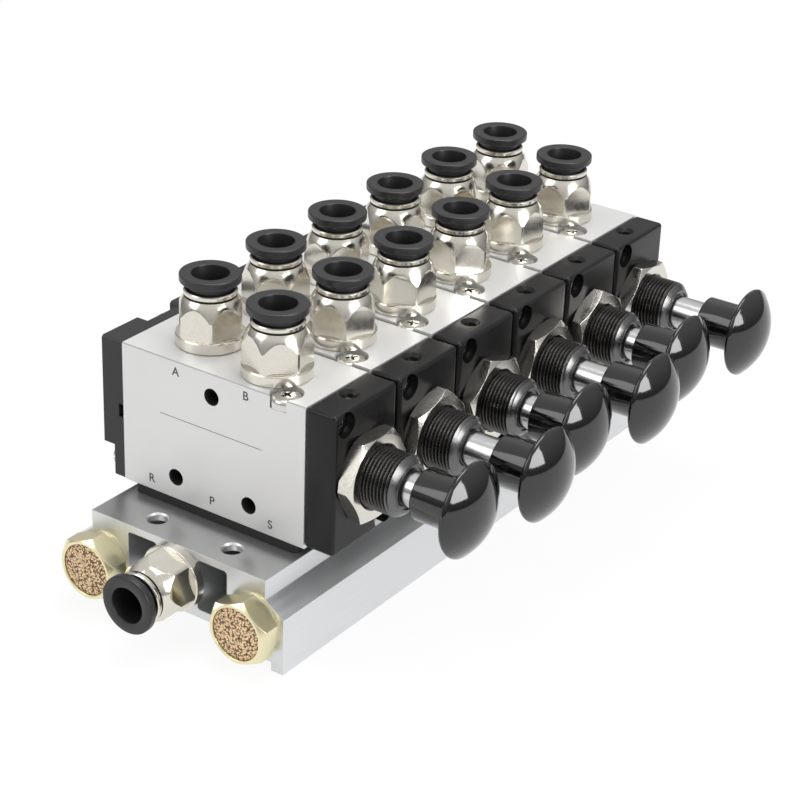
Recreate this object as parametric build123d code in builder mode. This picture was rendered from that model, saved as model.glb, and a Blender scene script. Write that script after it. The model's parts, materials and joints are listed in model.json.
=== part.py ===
from build123d import *
import os

os.makedirs("parts", exist_ok=True)

# Valve manifold: six hand pulled five port valves on one extruded base, in millimetres.
# X runs along a valve, from its end cover to its knob, Y runs back along the row of valves
# and Z is up. The origin is the middle of the base, at the level of its feet.

# Row of valves
valve_count = 6
valve_pitch = 23.0
valve_width = 22.0

# Clearances
thread_clearance = 0.1
running_clearance = 0.08
seat_clearance = 0.1

# Base extrusion
base_end_margin = 12.0
base_height = 21.7
base_width = 58.5
deck_width = 48.7
deck_side = 4.7
shoulder_z = 13.6
foot_width = 3.15
foot_step_z = 2.1
web_underside_z = 5.5
web_underside_width = 30.0
slot_width = 8.2
slot_height = 12.4
slot_x = 9.8
slot_z = 13.7
slot_corner_radius = 0.8
supply_z = 14.2
supply_radius = 4.0
exhaust_gallery_x = 21.2
exhaust_gallery_z = 10.2
exhaust_gallery_radius = 4.2
thread_radius = 4.85
end_thread_depth = 9.0
base_hole_x = 10.5
base_hole_radius = 2.25
base_hole_rim_radius = 2.6

# Valve body
gasket_thickness = 2.35
gasket_inset_x = 2.4
gasket_inset_y = 0.5
gasket_corner_radius = 1.5
body_length = 50.3
body_height = 34.0
body_edge = 0.25
bore_radius = 4.3
port_groove_radius = 5.5
port_groove_width = 4.0
bore_end_margin = 3.9
port_passage_radius = 1.7
seal_groove_radius = 5.45
seal_groove_width = 1.4
feed_radius = 2.3
exhaust_feed_offset = 0.4
passage_overlap = 1.0
side_hole_radius = 2.0
side_hole_inset = 14.95
side_hole_edge = 5.5

# Push-in fittings for 8 mm tube
port_offset = 2.0
port_y = 1.6
port_thread_depth = 9.0
shank_length = 8.0
fitting_radius = 7.85
flange_height = 2.7
flange_edge = 0.3
hex_corner_height = 8.0
hex_cone_height = 11.6
neck_radius = 5.75
rim_radius = 5.95
rim_bottom_height = 12.0
rim_top_height = 12.95
tube_bore_radius = 4.15
tube_seat_radius = 4.1
tube_stop_height = 0.5
passage_radius = 3.0
chamber_radius = 5.65
chamber_bottom_height = 2.5
chamber_top_height = 6.0
fitting_height = 16.5
ring_radius = 6.85
ring_edge = 0.45
ring_face_thickness = 1.75
ring_cone_height = 14.15
ring_cone_radius = 5.45
ring_wall = 0.82
ring_bottom_height = 6.3
ring_mouth_edge = 0.35
tube_seal_section = 0.7
grip_ring_bottom_height = 4.3
grip_ring_thickness = 0.4
grip_ring_inner_radius = 4.3

# Pull block and its threaded collar
block_thickness = 7.8
block_bottom_gap = 0.65
block_edge = 0.9
collar_radius = 7.0
collar_length = 11.9
collar_edge = 1.5
rod_radius = 4.0
land_pocket_depth = 2.6
detent_x = 3.15
detent_hole_radius = 1.5
detent_rim_radius = 2.3
detent_ball_radius = 1.35
detent_groove_depth = 0.35
detent_groove_width = 1.4
detent_spring_length = 5.6
detent_spring_wall = 0.35
detent_screw_length = 3.2
detent_socket_radius = 0.75
detent_socket_depth = 1.6
block_screw_y = 7.0
block_screw_z = 13.8
block_screw_recess_radius = 2.9
block_screw_recess_depth = 5.0
block_screw_head_radius = 2.75
block_screw_head_height = 3.0
block_screw_socket = 2.5
block_screw_socket_depth = 1.5
small_screw_radius = 1.5
small_screw_hole_radius = 1.7
small_thread_radius = 1.6
small_thread_depth = 3.2
small_thread_engagement = 3.0
nut_across_flats = 19.0
nut_thickness = 3.9
nut_chamfer_rise = 0.87
nut_face_radius = 9.5

# Knob and spool
knob_travel = 4.5
knob_gap = 3.4
knob_neck_radius = 5.9
knob_length = 16.0
knob_dome_radius = 10.75
knob_dome_height = 4.6
knob_rim_thickness = 0.9
knob_rim_edge = 0.35
knob_flare_radius = 1.6
knob_socket_depth = 9.0
rod_end_radius = 3.0
spool_waist_radius = 2.6
spool_end_margin = 2.35
land_radius = 4.22

# End cover
cover_thickness = 5.9
cover_thin_thickness = 2.9
cover_notch_y = 9.1
cover_notch_z = 7.85
cover_notch_fillet = 1.4
cover_edge = 0.5
cover_pocket_depth = 3.0
cover_slot_height = 3.2
cover_slot_thickness = 1.4
cover_slot_depth = 1.6
cover_screw_y = 7.2
cover_screw_z = 13.4
cover_screw_head_radius = 2.6
cover_screw_head_height = 1.6
cover_screw_slot_width = 0.7
cover_screw_slot_depth = 0.7

# Screws that hold a valve to the base
mount_screw_inset = 7.2
mount_screw_y = 7.94
mount_screw_radius = 1.9
mount_screw_hole_radius = 2.1
mount_screw_thread_depth = 6.5
mount_screw_head_radius = 3.5
mount_screw_head_height = 2.6
mount_recess_radius = 3.7
mount_recess_depth = 2.9
cross_width = 1.0
cross_length = 4.0
cross_depth = 1.3

# Exhaust silencers
silencer_flats = 14.0
silencer_length = 6.3
silencer_turn = 20.0
silencer_shank_length = 7.0
silencer_bore_radius = 3.2
silencer_recess_radius = 6.2
silencer_recess_depth = 2.0
silencer_face_edge = 0.9
silencer_flange_radius = 6.9
silencer_flange_height = 0.8
element_dome = 0.3

# Plugs at the back end of the base
plug_length = 7.5
plug_socket_flats = 5.0
plug_socket_depth = 4.0
plug_setback = 0.4

# Levels and places that follow from the sizes above
base_length = (valve_count - 1) * valve_pitch + valve_width + 2 * base_end_margin
base_hole_y = base_length / 2 - base_end_margin / 2
body_bottom = base_height + gasket_thickness
body_top = body_bottom + body_height
spool_z = body_bottom + body_height / 2
body_end = body_length / 2
port_groove_pitch = (body_length - 2 * bore_end_margin) / 5
exhaust_feed_x = 2 * port_groove_pitch + exhaust_feed_offset
side_hole_x = body_end - side_hole_inset
port_x = port_groove_pitch + port_offset
mount_screw_x = body_end - mount_screw_inset
block_face = body_end + block_thickness
block_bottom = body_bottom + block_bottom_gap
collar_end = block_face + collar_length
knob_start = collar_end + knob_gap
detent_place = body_end + detent_x
shank_radius = thread_radius - thread_clearance
ring_neck_radius = tube_bore_radius + ring_wall
valve_ys = [(k - (valve_count - 1) / 2) * valve_pitch for k in range(valve_count)]
row = [(0, y) for y in valve_ys]
groove_xs = [step * port_groove_pitch for step in (-2, -1, 0, 1, 2)]
seal_xs = [(step - 2.5) * port_groove_pitch for step in range(6)]
feed_xs = [-exhaust_feed_x, 0, exhaust_feed_x]
galleries = [(-exhaust_gallery_x, exhaust_gallery_z), (0, supply_z), (exhaust_gallery_x, exhaust_gallery_z)]

# Diagonal pairs of screws: in X and Y on a valve's top, and in Y and Z on its two ends
mount_screw_places = [(mount_screw_x, -mount_screw_y), (-mount_screw_x, mount_screw_y)]
block_screw_places = [
    (-block_screw_y, spool_z + block_screw_z),
    (block_screw_y, spool_z - block_screw_z),
]
cover_screw_places = [
    (cover_screw_y, spool_z + cover_screw_z),
    (-cover_screw_y, spool_z - cover_screw_z),
]

# Seats: each plane's Z is the axis of what screws in, and its origin is on the face
port_seats_a = [Plane(origin=(-port_x, y + port_y, body_top)) for y in valve_ys]
port_seats_b = [Plane(origin=(port_x, y - port_y, body_top)) for y in valve_ys]
front_end = Plane(origin=(0, -base_length / 2, 0), x_dir=(1, 0, 0), z_dir=(0, -1, 0))
back_end = Plane(origin=(0, base_length / 2, 0), x_dir=(-1, 0, 0), z_dir=(0, 1, 0))
inlet_seat = Plane(origin=(0, -base_length / 2, supply_z), x_dir=(1, 0, 0), z_dir=(0, -1, 0))
silencer_x_dir = Vector(1, 0, 0).rotate(Axis.Y, -silencer_turn)
silencer_seats = [
    Plane(origin=(x, -base_length / 2, exhaust_gallery_z), x_dir=silencer_x_dir, z_dir=(0, -1, 0))
    for x in (-exhaust_gallery_x, exhaust_gallery_x)
]
all_tube_seats = port_seats_a + port_seats_b + [inlet_seat]


def save(piece, name, place=Location()):
    """Label a finished piece, moved to its place, and write it as one file."""
    placed = piece.part.moved(place)
    placed.label = name
    export_step(placed, f"parts/{name}.step")


def turned(outline):
    """Solid turned about Z from the (radius, height) points of its outline."""
    with BuildPart() as solid:
        with BuildSketch(Plane.XZ):
            with BuildLine():
                Polyline(*outline, close=True)
            make_face()
        revolve(axis=Axis.Z)
    return solid.part


# Base: an extrusion with feet, two open slots, a supply gallery and two exhaust galleries
with BuildPart() as manifold_base:
    with BuildSketch(Plane.XZ):
        with BuildLine():
            Polyline(
                (0, web_underside_z),
                (web_underside_width / 2, web_underside_z),
                (web_underside_width / 2, foot_step_z),
                (base_width / 2 - foot_width, foot_step_z),
                (base_width / 2 - foot_width, 0),
                (base_width / 2, 0),
                (base_width / 2, shoulder_z),
                (deck_width / 2, base_height - deck_side),
                (deck_width / 2, base_height),
                (0, base_height),
                close=True,
            )
        make_face()
        mirror(about=Plane.YZ)
        with Locations((-slot_x, slot_z), (slot_x, slot_z)):
            RectangleRounded(slot_width, slot_height, slot_corner_radius, mode=Mode.SUBTRACT)
        with Locations(galleries[1]):
            Circle(supply_radius, mode=Mode.SUBTRACT)
        with Locations(galleries[0], galleries[2]):
            Circle(exhaust_gallery_radius, mode=Mode.SUBTRACT)
    extrude(amount=base_length / 2, both=True)
    for end in (front_end, back_end):
        with BuildSketch(end):
            with Locations(*galleries):
                Circle(thread_radius)
        extrude(amount=-end_thread_depth, mode=Mode.SUBTRACT)
    with Locations(Plane.XY.offset(base_height)):
        with GridLocations(2 * base_hole_x, 2 * base_hole_y, 2, 2):
            CounterSinkHole(base_hole_radius, base_hole_rim_radius, depth=base_height)
    with BuildSketch(Plane.XY.offset(base_height)):
        with Locations(*row):
            Circle(feed_radius)
    extrude(amount=-(base_height - supply_z), mode=Mode.SUBTRACT)
    with BuildSketch(Plane.XY.offset(base_height)):
        with Locations(*row):
            with Locations((-exhaust_feed_x, 0), (exhaust_feed_x, 0)):
                Circle(feed_radius)
    extrude(amount=-(base_height - exhaust_gallery_z), mode=Mode.SUBTRACT)
    with BuildSketch(Plane.XY.offset(base_height)):
        with Locations(*row):
            with Locations(*mount_screw_places):
                Circle(mount_screw_radius + thread_clearance)
    extrude(amount=-mount_screw_thread_depth, mode=Mode.SUBTRACT)
save(manifold_base, "manifold_base")

# Gaskets: one under each valve, open at its three feeds and its two screws
with BuildPart() as valve_gaskets:
    with BuildSketch(Plane.XY.offset(base_height)):
        with Locations(*row):
            RectangleRounded(
                body_length - 2 * gasket_inset_x,
                valve_width - 2 * gasket_inset_y,
                gasket_corner_radius,
            )
            with Locations(*[(x, 0) for x in feed_xs]):
                Circle(feed_radius, mode=Mode.SUBTRACT)
            with Locations(*mount_screw_places):
                Circle(mount_screw_hole_radius, mode=Mode.SUBTRACT)
    extrude(amount=gasket_thickness)
save(valve_gaskets, "valve_gaskets")

# Each piece of a valve is modelled at Y 0, with the knob pushed in, and placed along the row

# Valve body: bore, ring grooves, ports, feeds, side holes and screw holes in a block
with BuildPart() as valve_body:
    with BuildSketch(Plane.XY.offset(body_bottom)):
        Rectangle(body_length, valve_width)
    extrude(amount=body_height)
    chamfer(valve_body.edges().filter_by(Axis.X), length=body_edge)
    with BuildSketch(Plane.YZ.offset(-body_end)):
        with Locations((0, spool_z)):
            Circle(bore_radius)
    extrude(amount=body_length, mode=Mode.SUBTRACT)
    for x in groove_xs:
        with BuildSketch(Plane.YZ.offset(x - port_groove_width / 2)):
            with Locations((0, spool_z)):
                Circle(port_groove_radius)
        extrude(amount=port_groove_width, mode=Mode.SUBTRACT)
    for x in seal_xs:
        with BuildSketch(Plane.YZ.offset(x - seal_groove_width / 2)):
            with Locations((0, spool_z)):
                Circle(seal_groove_radius)
        extrude(amount=seal_groove_width, mode=Mode.SUBTRACT)
    with BuildSketch(Plane.XY.offset(body_bottom)):
        with Locations(*[(x, 0) for x in feed_xs]):
            Circle(feed_radius)
    extrude(amount=body_height / 2 - port_groove_radius + passage_overlap, mode=Mode.SUBTRACT)
    with BuildSketch(Plane.XY.offset(body_top)):
        with Locations((-port_x, port_y), (port_x, -port_y)):
            Circle(thread_radius)
    extrude(amount=-port_thread_depth, mode=Mode.SUBTRACT)
    with BuildSketch(Plane.XY.offset(body_top)):
        with Locations((-port_groove_pitch, 0), (port_groove_pitch, 0)):
            Circle(port_passage_radius)
    extrude(amount=-(body_height / 2 - port_groove_radius + passage_overlap), mode=Mode.SUBTRACT)
    with BuildSketch(Plane.XZ):
        with Locations(
            (0, body_top - side_hole_edge),
            (-side_hole_x, body_bottom + side_hole_edge),
            (side_hole_x, body_bottom + side_hole_edge),
        ):
            Circle(side_hole_radius)
    extrude(amount=valve_width / 2, both=True, mode=Mode.SUBTRACT)
    with Locations(Plane.XY.offset(body_top)):
        with Locations(*mount_screw_places):
            CounterBoreHole(mount_screw_hole_radius, mount_recess_radius, mount_recess_depth, body_height)
    with BuildSketch(Plane.YZ.offset(body_end)):
        with Locations(*block_screw_places):
            Circle(small_thread_radius)
    extrude(amount=-small_thread_depth, mode=Mode.SUBTRACT)
    with BuildSketch(Plane.YZ.offset(-body_end)):
        with Locations(*cover_screw_places):
            Circle(small_thread_radius)
    extrude(amount=small_thread_depth, mode=Mode.SUBTRACT)

# Pull block: an end block with its threaded collar, rod bore, detent hole and screw recesses
with BuildPart() as pull_block:
    with BuildSketch(Plane.YZ.offset(body_end)):
        with Locations((0, (block_bottom + body_top) / 2)):
            Rectangle(valve_width, body_top - block_bottom)
    extrude(amount=block_thickness)
    fillet(pull_block.edges().filter_by(Axis.X), radius=block_edge)
    with BuildSketch(Plane.YZ.offset(block_face)):
        with Locations((0, spool_z)):
            Circle(collar_radius)
    extrude(amount=collar_length)
    chamfer(pull_block.faces().sort_by(Axis.X)[-1].edges(), length=collar_edge)
    with BuildSketch(Plane.YZ.offset(body_end)):
        with Locations((0, spool_z)):
            Circle(rod_radius + running_clearance)
    extrude(amount=block_thickness + collar_length, mode=Mode.SUBTRACT)
    with BuildSketch(Plane.YZ.offset(body_end)):
        with Locations((0, spool_z)):
            Circle(bore_radius)
    extrude(amount=land_pocket_depth, mode=Mode.SUBTRACT)
    with Locations((detent_place, 0, body_top)):
        CounterSinkHole(detent_hole_radius, detent_rim_radius, depth=body_height / 2)
    with BuildSketch(Plane.YZ.offset(body_end)):
        with Locations(*block_screw_places):
            Circle(small_screw_hole_radius)
    extrude(amount=block_thickness, mode=Mode.SUBTRACT)
    with BuildSketch(Plane.YZ.offset(block_face)):
        with Locations(*block_screw_places):
            Circle(block_screw_recess_radius)
    extrude(amount=-block_screw_recess_depth, mode=Mode.SUBTRACT)

# End cover: thinned at two diagonal corners for its screws, with a vent slot at each side
with BuildPart() as end_cover:
    with BuildSketch(Plane.YZ.offset(-body_end)):
        with Locations((0, spool_z)):
            Rectangle(valve_width, body_height)
    extrude(amount=-cover_thickness)
    chamfer(end_cover.edges().filter_by(Axis.X), length=cover_edge)
    with BuildSketch(Plane.YZ.offset(-body_end - cover_thin_thickness)):
        with Locations(
            ((valve_width - cover_notch_y) / 2, body_top - cover_notch_z / 2),
            ((cover_notch_y - valve_width) / 2, body_bottom + cover_notch_z / 2),
        ):
            Rectangle(cover_notch_y, cover_notch_z)
    extrude(amount=-(cover_thickness - cover_thin_thickness), mode=Mode.SUBTRACT)
    notch_edges = end_cover.edges().filter_by(Axis.X).filter_by(
        lambda edge: abs(edge.center().Y) < valve_width / 2 - cover_notch_y + cover_edge
    )
    fillet(notch_edges, radius=cover_notch_fillet)
    with BuildSketch(Plane.YZ.offset(-body_end)):
        with Locations((0, spool_z)):
            Circle(bore_radius)
    extrude(amount=-cover_pocket_depth, mode=Mode.SUBTRACT)
    with BuildSketch(Plane.YZ.offset(-body_end)):
        with Locations((-valve_width / 2, spool_z), (valve_width / 2, spool_z)):
            Rectangle(2 * cover_slot_depth, cover_slot_height)
    extrude(amount=-cover_slot_thickness, mode=Mode.SUBTRACT)
    with BuildSketch(Plane.YZ.offset(-body_end)):
        with Locations(*cover_screw_places):
            Circle(small_screw_hole_radius)
    extrude(amount=-cover_thickness, mode=Mode.SUBTRACT)

# Spool: five lands and a rod in one piece, with a detent groove for each place of the knob.
# The lands end at these multiples of the pitch of the body's port grooves.
spool_start = -body_end - spool_end_margin
land_ends = [(-2.18, -1.85), (-0.62, 0.12), (1.34, 1.66), (1.84, 2.7)]
lands = [(spool_start, -2.4 * port_groove_pitch)]
lands += [(left * port_groove_pitch, right * port_groove_pitch) for left, right in land_ends]
rod_start = lands[-1][1]
with BuildPart() as spool:
    with BuildSketch(Plane.YZ.offset(spool_start)):
        with Locations((0, spool_z)):
            Circle(spool_waist_radius)
    extrude(amount=rod_start - spool_start)
    for left, right in lands:
        with BuildSketch(Plane.YZ.offset(left)):
            with Locations((0, spool_z)):
                Circle(land_radius)
        extrude(amount=right - left)
    with BuildSketch(Plane.YZ.offset(rod_start)):
        with Locations((0, spool_z)):
            Circle(rod_radius)
    extrude(amount=knob_start - rod_start)
    with BuildSketch(Plane.YZ.offset(knob_start)):
        with Locations((0, spool_z)):
            Circle(rod_end_radius)
    extrude(amount=knob_socket_depth - seat_clearance)
    for x in (detent_place, detent_place - knob_travel):
        with BuildSketch(Plane.YZ.offset(x - detent_groove_width / 2)):
            with Locations((0, spool_z)):
                Circle(rod_radius)
                Circle(rod_radius - detent_groove_depth, mode=Mode.SUBTRACT)
        extrude(amount=detent_groove_width, mode=Mode.SUBTRACT)

# Knob: a round neck and a domed mushroom head, pressed on the end of the rod
knob_rim_front = knob_start + knob_length - knob_dome_height
knob_rim_back = knob_rim_front - knob_rim_thickness
knob_tip = knob_start + knob_length
dome_sweep = (knob_dome_height**2 + knob_dome_radius**2) / (2 * knob_dome_height)
with BuildPart() as pull_knob:
    with BuildSketch(Plane.XY.offset(spool_z)):
        with BuildLine():
            Polyline(
                (knob_tip, 0),
                (knob_start, 0),
                (knob_start, knob_neck_radius),
                (knob_rim_back - knob_flare_radius, knob_neck_radius),
            )
            CenterArc(
                (knob_rim_back - knob_flare_radius, knob_neck_radius + knob_flare_radius),
                knob_flare_radius,
                -90,
                90,
            )
            Polyline(
                (knob_rim_back, knob_neck_radius + knob_flare_radius),
                (knob_rim_back, knob_dome_radius - knob_rim_edge),
                (knob_rim_back + knob_rim_edge, knob_dome_radius),
                (knob_rim_front, knob_dome_radius),
            )
            RadiusArc((knob_rim_front, knob_dome_radius), (knob_tip, 0), dome_sweep)
        make_face()
    revolve(axis=Axis((0, 0, spool_z), (1, 0, 0)))
    with BuildSketch(Plane.YZ.offset(knob_start)):
        with Locations((0, spool_z)):
            Circle(rod_end_radius + seat_clearance / 2)
    extrude(amount=knob_socket_depth, mode=Mode.SUBTRACT)

# Valves along the row, with the knob of every second valve pulled out
for k, y in enumerate(valve_ys):
    pulled = knob_travel if k % 2 == 1 else 0
    save(valve_body, f"valve_body_{k + 1}", Location((0, y, 0)))
    save(pull_block, f"pull_block_{k + 1}", Location((0, y, 0)))
    save(end_cover, f"end_cover_{k + 1}", Location((0, y, 0)))
    save(spool, f"spool_{k + 1}", Location((pulled, y, 0)))
    save(pull_knob, f"pull_knob_{k + 1}", Location((pulled, y, 0)))

# Seals round each spool, in the grooves of its bore
with BuildPart() as valve_seals:
    for x in seal_xs:
        with BuildSketch(Plane.YZ.offset(x - seal_groove_width / 2 + seat_clearance)):
            with Locations((0, spool_z)):
                Circle(seal_groove_radius - seat_clearance / 2)
                Circle(land_radius + running_clearance / 2, mode=Mode.SUBTRACT)
        extrude(amount=seal_groove_width - 2 * seat_clearance)
with BuildPart() as spool_seals:
    with Locations(*row):
        add(valve_seals.part)
save(spool_seals, "spool_seals")

# Push-in fitting, modelled with its seat on XY: shank, flange, hexagon under a cone and rim
with BuildPart() as fitting:
    add(
        turned(
            [
                (0, -shank_length),
                (shank_radius, -shank_length),
                (shank_radius, 0),
                (fitting_radius - flange_edge, 0),
                (fitting_radius, flange_edge),
                (fitting_radius, flange_height - flange_edge),
                (fitting_radius - flange_edge, flange_height),
                (0, flange_height),
            ]
        )
    )
    with BuildPart(mode=Mode.PRIVATE) as hexagon:
        with BuildSketch(Plane.XY.offset(flange_height)):
            RegularPolygon(fitting_radius, 6)
        extrude(amount=hex_cone_height - flange_height)
        add(
            turned(
                [
                    (0, 0),
                    (fitting_radius - flange_edge / 2, 0),
                    (fitting_radius - flange_edge / 2, hex_corner_height),
                    (rim_radius, hex_cone_height),
                    (0, hex_cone_height),
                ]
            ),
            mode=Mode.INTERSECT,
        )
    add(hexagon.part)
    add(
        turned(
            [
                (0, hex_cone_height),
                (neck_radius, hex_cone_height),
                (neck_radius, rim_bottom_height),
                (rim_radius, rim_bottom_height),
                (rim_radius, rim_top_height),
                (0, rim_top_height),
            ]
        )
    )
    add(
        turned(
            [
                (0, -shank_length),
                (passage_radius, -shank_length),
                (passage_radius, tube_stop_height),
                (tube_seat_radius, tube_stop_height),
                (tube_seat_radius, chamber_bottom_height),
                (chamber_radius, chamber_bottom_height),
                (chamber_radius, chamber_top_height),
                (ring_neck_radius + running_clearance, chamber_top_height),
                (ring_neck_radius + running_clearance, rim_top_height),
                (0, rim_top_height),
            ]
        ),
        mode=Mode.SUBTRACT,
    )

# Release ring: a flat head over a short cone, and a sleeve round the tube
with BuildPart() as release_ring:
    add(
        turned(
            [
                (tube_bore_radius, ring_bottom_height),
                (ring_neck_radius, ring_bottom_height),
                (ring_neck_radius, ring_cone_height),
                (ring_cone_radius, ring_cone_height),
                (ring_radius, fitting_height - ring_face_thickness),
                (ring_radius, fitting_height - ring_edge),
                (ring_radius - ring_edge, fitting_height),
                (tube_bore_radius + ring_mouth_edge, fitting_height),
                (tube_bore_radius, fitting_height - ring_mouth_edge),
            ]
        )
    )

# Rubber ring that seals on the tube, at the bottom of the fitting's chamber
with BuildPart() as tube_seal:
    with BuildSketch(Plane.XZ):
        with Locations((
            tube_bore_radius + seat_clearance + tube_seal_section,
            chamber_bottom_height + tube_seal_section,
        )):
            Circle(tube_seal_section)
    revolve(axis=Axis.Z)

# Steel ring that grips the tube, between the seal and the release ring
with BuildPart() as grip_ring:
    add(
        turned(
            [
                (grip_ring_inner_radius, grip_ring_bottom_height),
                (chamber_radius - seat_clearance, grip_ring_bottom_height + grip_ring_thickness),
                (chamber_radius - seat_clearance, grip_ring_bottom_height + 2 * grip_ring_thickness),
                (grip_ring_inner_radius, grip_ring_bottom_height + grip_ring_thickness),
            ]
        )
    )

# Fittings in their ports: two on each valve and one on the supply
with BuildPart() as port_fittings:
    with Locations(*port_seats_a, *port_seats_b):
        add(fitting.part)
save(port_fittings, "port_fittings")
save(fitting, "inlet_fitting", inlet_seat.location)

for k, seat in enumerate(port_seats_a):
    save(release_ring, f"release_ring_a{k + 1}", seat.location)
for k, seat in enumerate(port_seats_b):
    save(release_ring, f"release_ring_b{k + 1}", seat.location)
save(release_ring, "release_ring_inlet", inlet_seat.location)

with BuildPart() as tube_seals:
    with Locations(*all_tube_seats):
        add(tube_seal.part)
save(tube_seals, "tube_seals")

with BuildPart() as grip_rings:
    with Locations(*all_tube_seats):
        add(grip_ring.part)
save(grip_rings, "grip_rings")

# Panel nut: a thin hexagon nut with both faces chamfered, modelled with its back on XY
with BuildPart() as panel_nut:
    with BuildSketch():
        RegularPolygon(nut_across_flats / 2, 6, major_radius=False)
    extrude(amount=nut_thickness)
    add(
        turned(
            [
                (0, 0),
                (nut_face_radius, 0),
                (nut_face_radius + nut_chamfer_rise * 3**0.5, nut_chamfer_rise),
                (nut_face_radius + nut_chamfer_rise * 3**0.5, nut_thickness - nut_chamfer_rise),
                (nut_face_radius, nut_thickness),
                (0, nut_thickness),
            ]
        ),
        mode=Mode.INTERSECT,
    )
    Hole(collar_radius + thread_clearance)
with BuildPart() as panel_nuts:
    with Locations(*[
        Plane(origin=(block_face, y, spool_z), x_dir=(0, 1, 0), z_dir=(1, 0, 0)) for y in valve_ys
    ]):
        add(panel_nut.part)
save(panel_nuts, "panel_nuts")

# Screws are modelled with the underside of the head on XY, and the shank below it

# Socket head cap screw of the pull block
with BuildPart() as block_screw:
    with BuildSketch():
        Circle(block_screw_head_radius)
    extrude(amount=block_screw_head_height)
    with BuildSketch():
        Circle(small_screw_radius)
    extrude(amount=-(block_thickness - block_screw_recess_depth + small_thread_engagement))
    with BuildSketch(Plane.XY.offset(block_screw_head_height)):
        RegularPolygon(block_screw_socket / 2, 6, major_radius=False)
    extrude(amount=-block_screw_socket_depth, mode=Mode.SUBTRACT)
with BuildPart() as block_screws:
    with Locations(*[
        Plane(
            origin=(block_face - block_screw_recess_depth, y + place_y, place_z),
            x_dir=(0, 1, 0),
            z_dir=(1, 0, 0),
        )
        for y in valve_ys
        for place_y, place_z in block_screw_places
    ]):
        add(block_screw.part)
save(block_screws, "block_screws")

# Slotted cheese head screw of the end cover
with BuildPart() as cover_screw:
    with BuildSketch():
        Circle(cover_screw_head_radius)
    extrude(amount=cover_screw_head_height)
    with BuildSketch():
        Circle(small_screw_radius)
    extrude(amount=-(cover_thin_thickness + small_thread_engagement))
    with BuildSketch(Plane.XY.offset(cover_screw_head_height)):
        Rectangle(2 * cover_screw_head_radius, cover_screw_slot_width)
    extrude(amount=-cover_screw_slot_depth, mode=Mode.SUBTRACT)
with BuildPart() as cover_screws:
    with Locations(*[
        Plane(
            origin=(-body_end - cover_thin_thickness, y + place_y, place_z),
            x_dir=(0, 1, 0),
            z_dir=(-1, 0, 0),
        )
        for y in valve_ys
        for place_y, place_z in cover_screw_places
    ]):
        add(cover_screw.part)
save(cover_screws, "cover_screws")

# Pan head screw with a cross recess, through the valve and its gasket into the base
mount_screw_reach = body_height - mount_recess_depth + gasket_thickness + mount_screw_thread_depth
with BuildPart() as mount_screw:
    with BuildSketch():
        Circle(mount_screw_head_radius)
    extrude(amount=mount_screw_head_height)
    head_rim = mount_screw.edges().filter_by(GeomType.CIRCLE).sort_by(Axis.Z)[-1]
    fillet(head_rim, radius=mount_screw_head_height / 2)
    with BuildSketch():
        Circle(mount_screw_radius)
    extrude(amount=-(mount_screw_reach - thread_clearance))
    with BuildSketch(Plane.XY.offset(mount_screw_head_height)):
        Rectangle(cross_length, cross_width)
        Rectangle(cross_width, cross_length)
    extrude(amount=-cross_depth, mode=Mode.SUBTRACT)
with BuildPart() as mount_screws:
    with Locations(*[
        (x, y + place_y, body_top - mount_recess_depth)
        for y in valve_ys
        for x, place_y in mount_screw_places
    ]):
        add(mount_screw.part)
save(mount_screws, "mount_screws")

# Detents: a ball, its spring and its set screw in the top hole of each pull block
ball_z = spool_z + rod_radius + running_clearance + detent_ball_radius
spring_z = ball_z + detent_ball_radius
set_screw_z = spring_z + detent_spring_length
with BuildPart() as detent_balls:
    with Locations(*[(detent_place, y, ball_z) for y in valve_ys]):
        Sphere(detent_ball_radius)
save(detent_balls, "detent_balls")

with BuildPart() as detent_springs:
    with BuildSketch(Plane.XY.offset(spring_z)):
        with Locations(*[(detent_place, y) for y in valve_ys]):
            Circle(detent_ball_radius - seat_clearance)
            Circle(detent_ball_radius - seat_clearance - detent_spring_wall, mode=Mode.SUBTRACT)
    extrude(amount=detent_spring_length)
save(detent_springs, "detent_springs")

with BuildPart() as detent_screws:
    with BuildSketch(Plane.XY.offset(set_screw_z)):
        with Locations(*[(detent_place, y) for y in valve_ys]):
            Circle(detent_hole_radius - seat_clearance / 2)
    extrude(amount=detent_screw_length)
    with BuildSketch(Plane.XY.offset(set_screw_z + detent_screw_length)):
        with Locations(*[(detent_place, y) for y in valve_ys]):
            RegularPolygon(detent_socket_radius, 6)
    extrude(amount=-detent_socket_depth, mode=Mode.SUBTRACT)
save(detent_screws, "detent_screws")

# Exhaust silencer, modelled with its seat on XY: a hexagon nut with a recess and a shank
with BuildPart() as silencer:
    with BuildSketch():
        RegularPolygon(silencer_flats / 2, 6, major_radius=False)
    extrude(amount=silencer_length)
    add(
        turned(
            [
                (0, 0),
                (silencer_flange_radius, 0),
                (silencer_flange_radius, silencer_flange_height),
                (silencer_flats / 3**0.5, silencer_flange_height + silencer_face_edge / 2),
                (silencer_flats / 3**0.5, silencer_length - silencer_face_edge),
                (silencer_flats / 2, silencer_length),
                (0, silencer_length),
            ]
        ),
        mode=Mode.INTERSECT,
    )
    with BuildSketch():
        Circle(shank_radius)
    extrude(amount=-silencer_shank_length)
    with BuildSketch(Plane.XY.offset(silencer_length)):
        Circle(silencer_recess_radius)
    extrude(amount=-silencer_recess_depth, mode=Mode.SUBTRACT)
    with BuildSketch(Plane.XY.offset(silencer_length)):
        Circle(silencer_bore_radius)
    extrude(amount=-(silencer_length + silencer_shank_length), mode=Mode.SUBTRACT)
with BuildPart() as silencer_bodies:
    with Locations(*silencer_seats):
        add(silencer.part)
save(silencer_bodies, "silencer_bodies")

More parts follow.
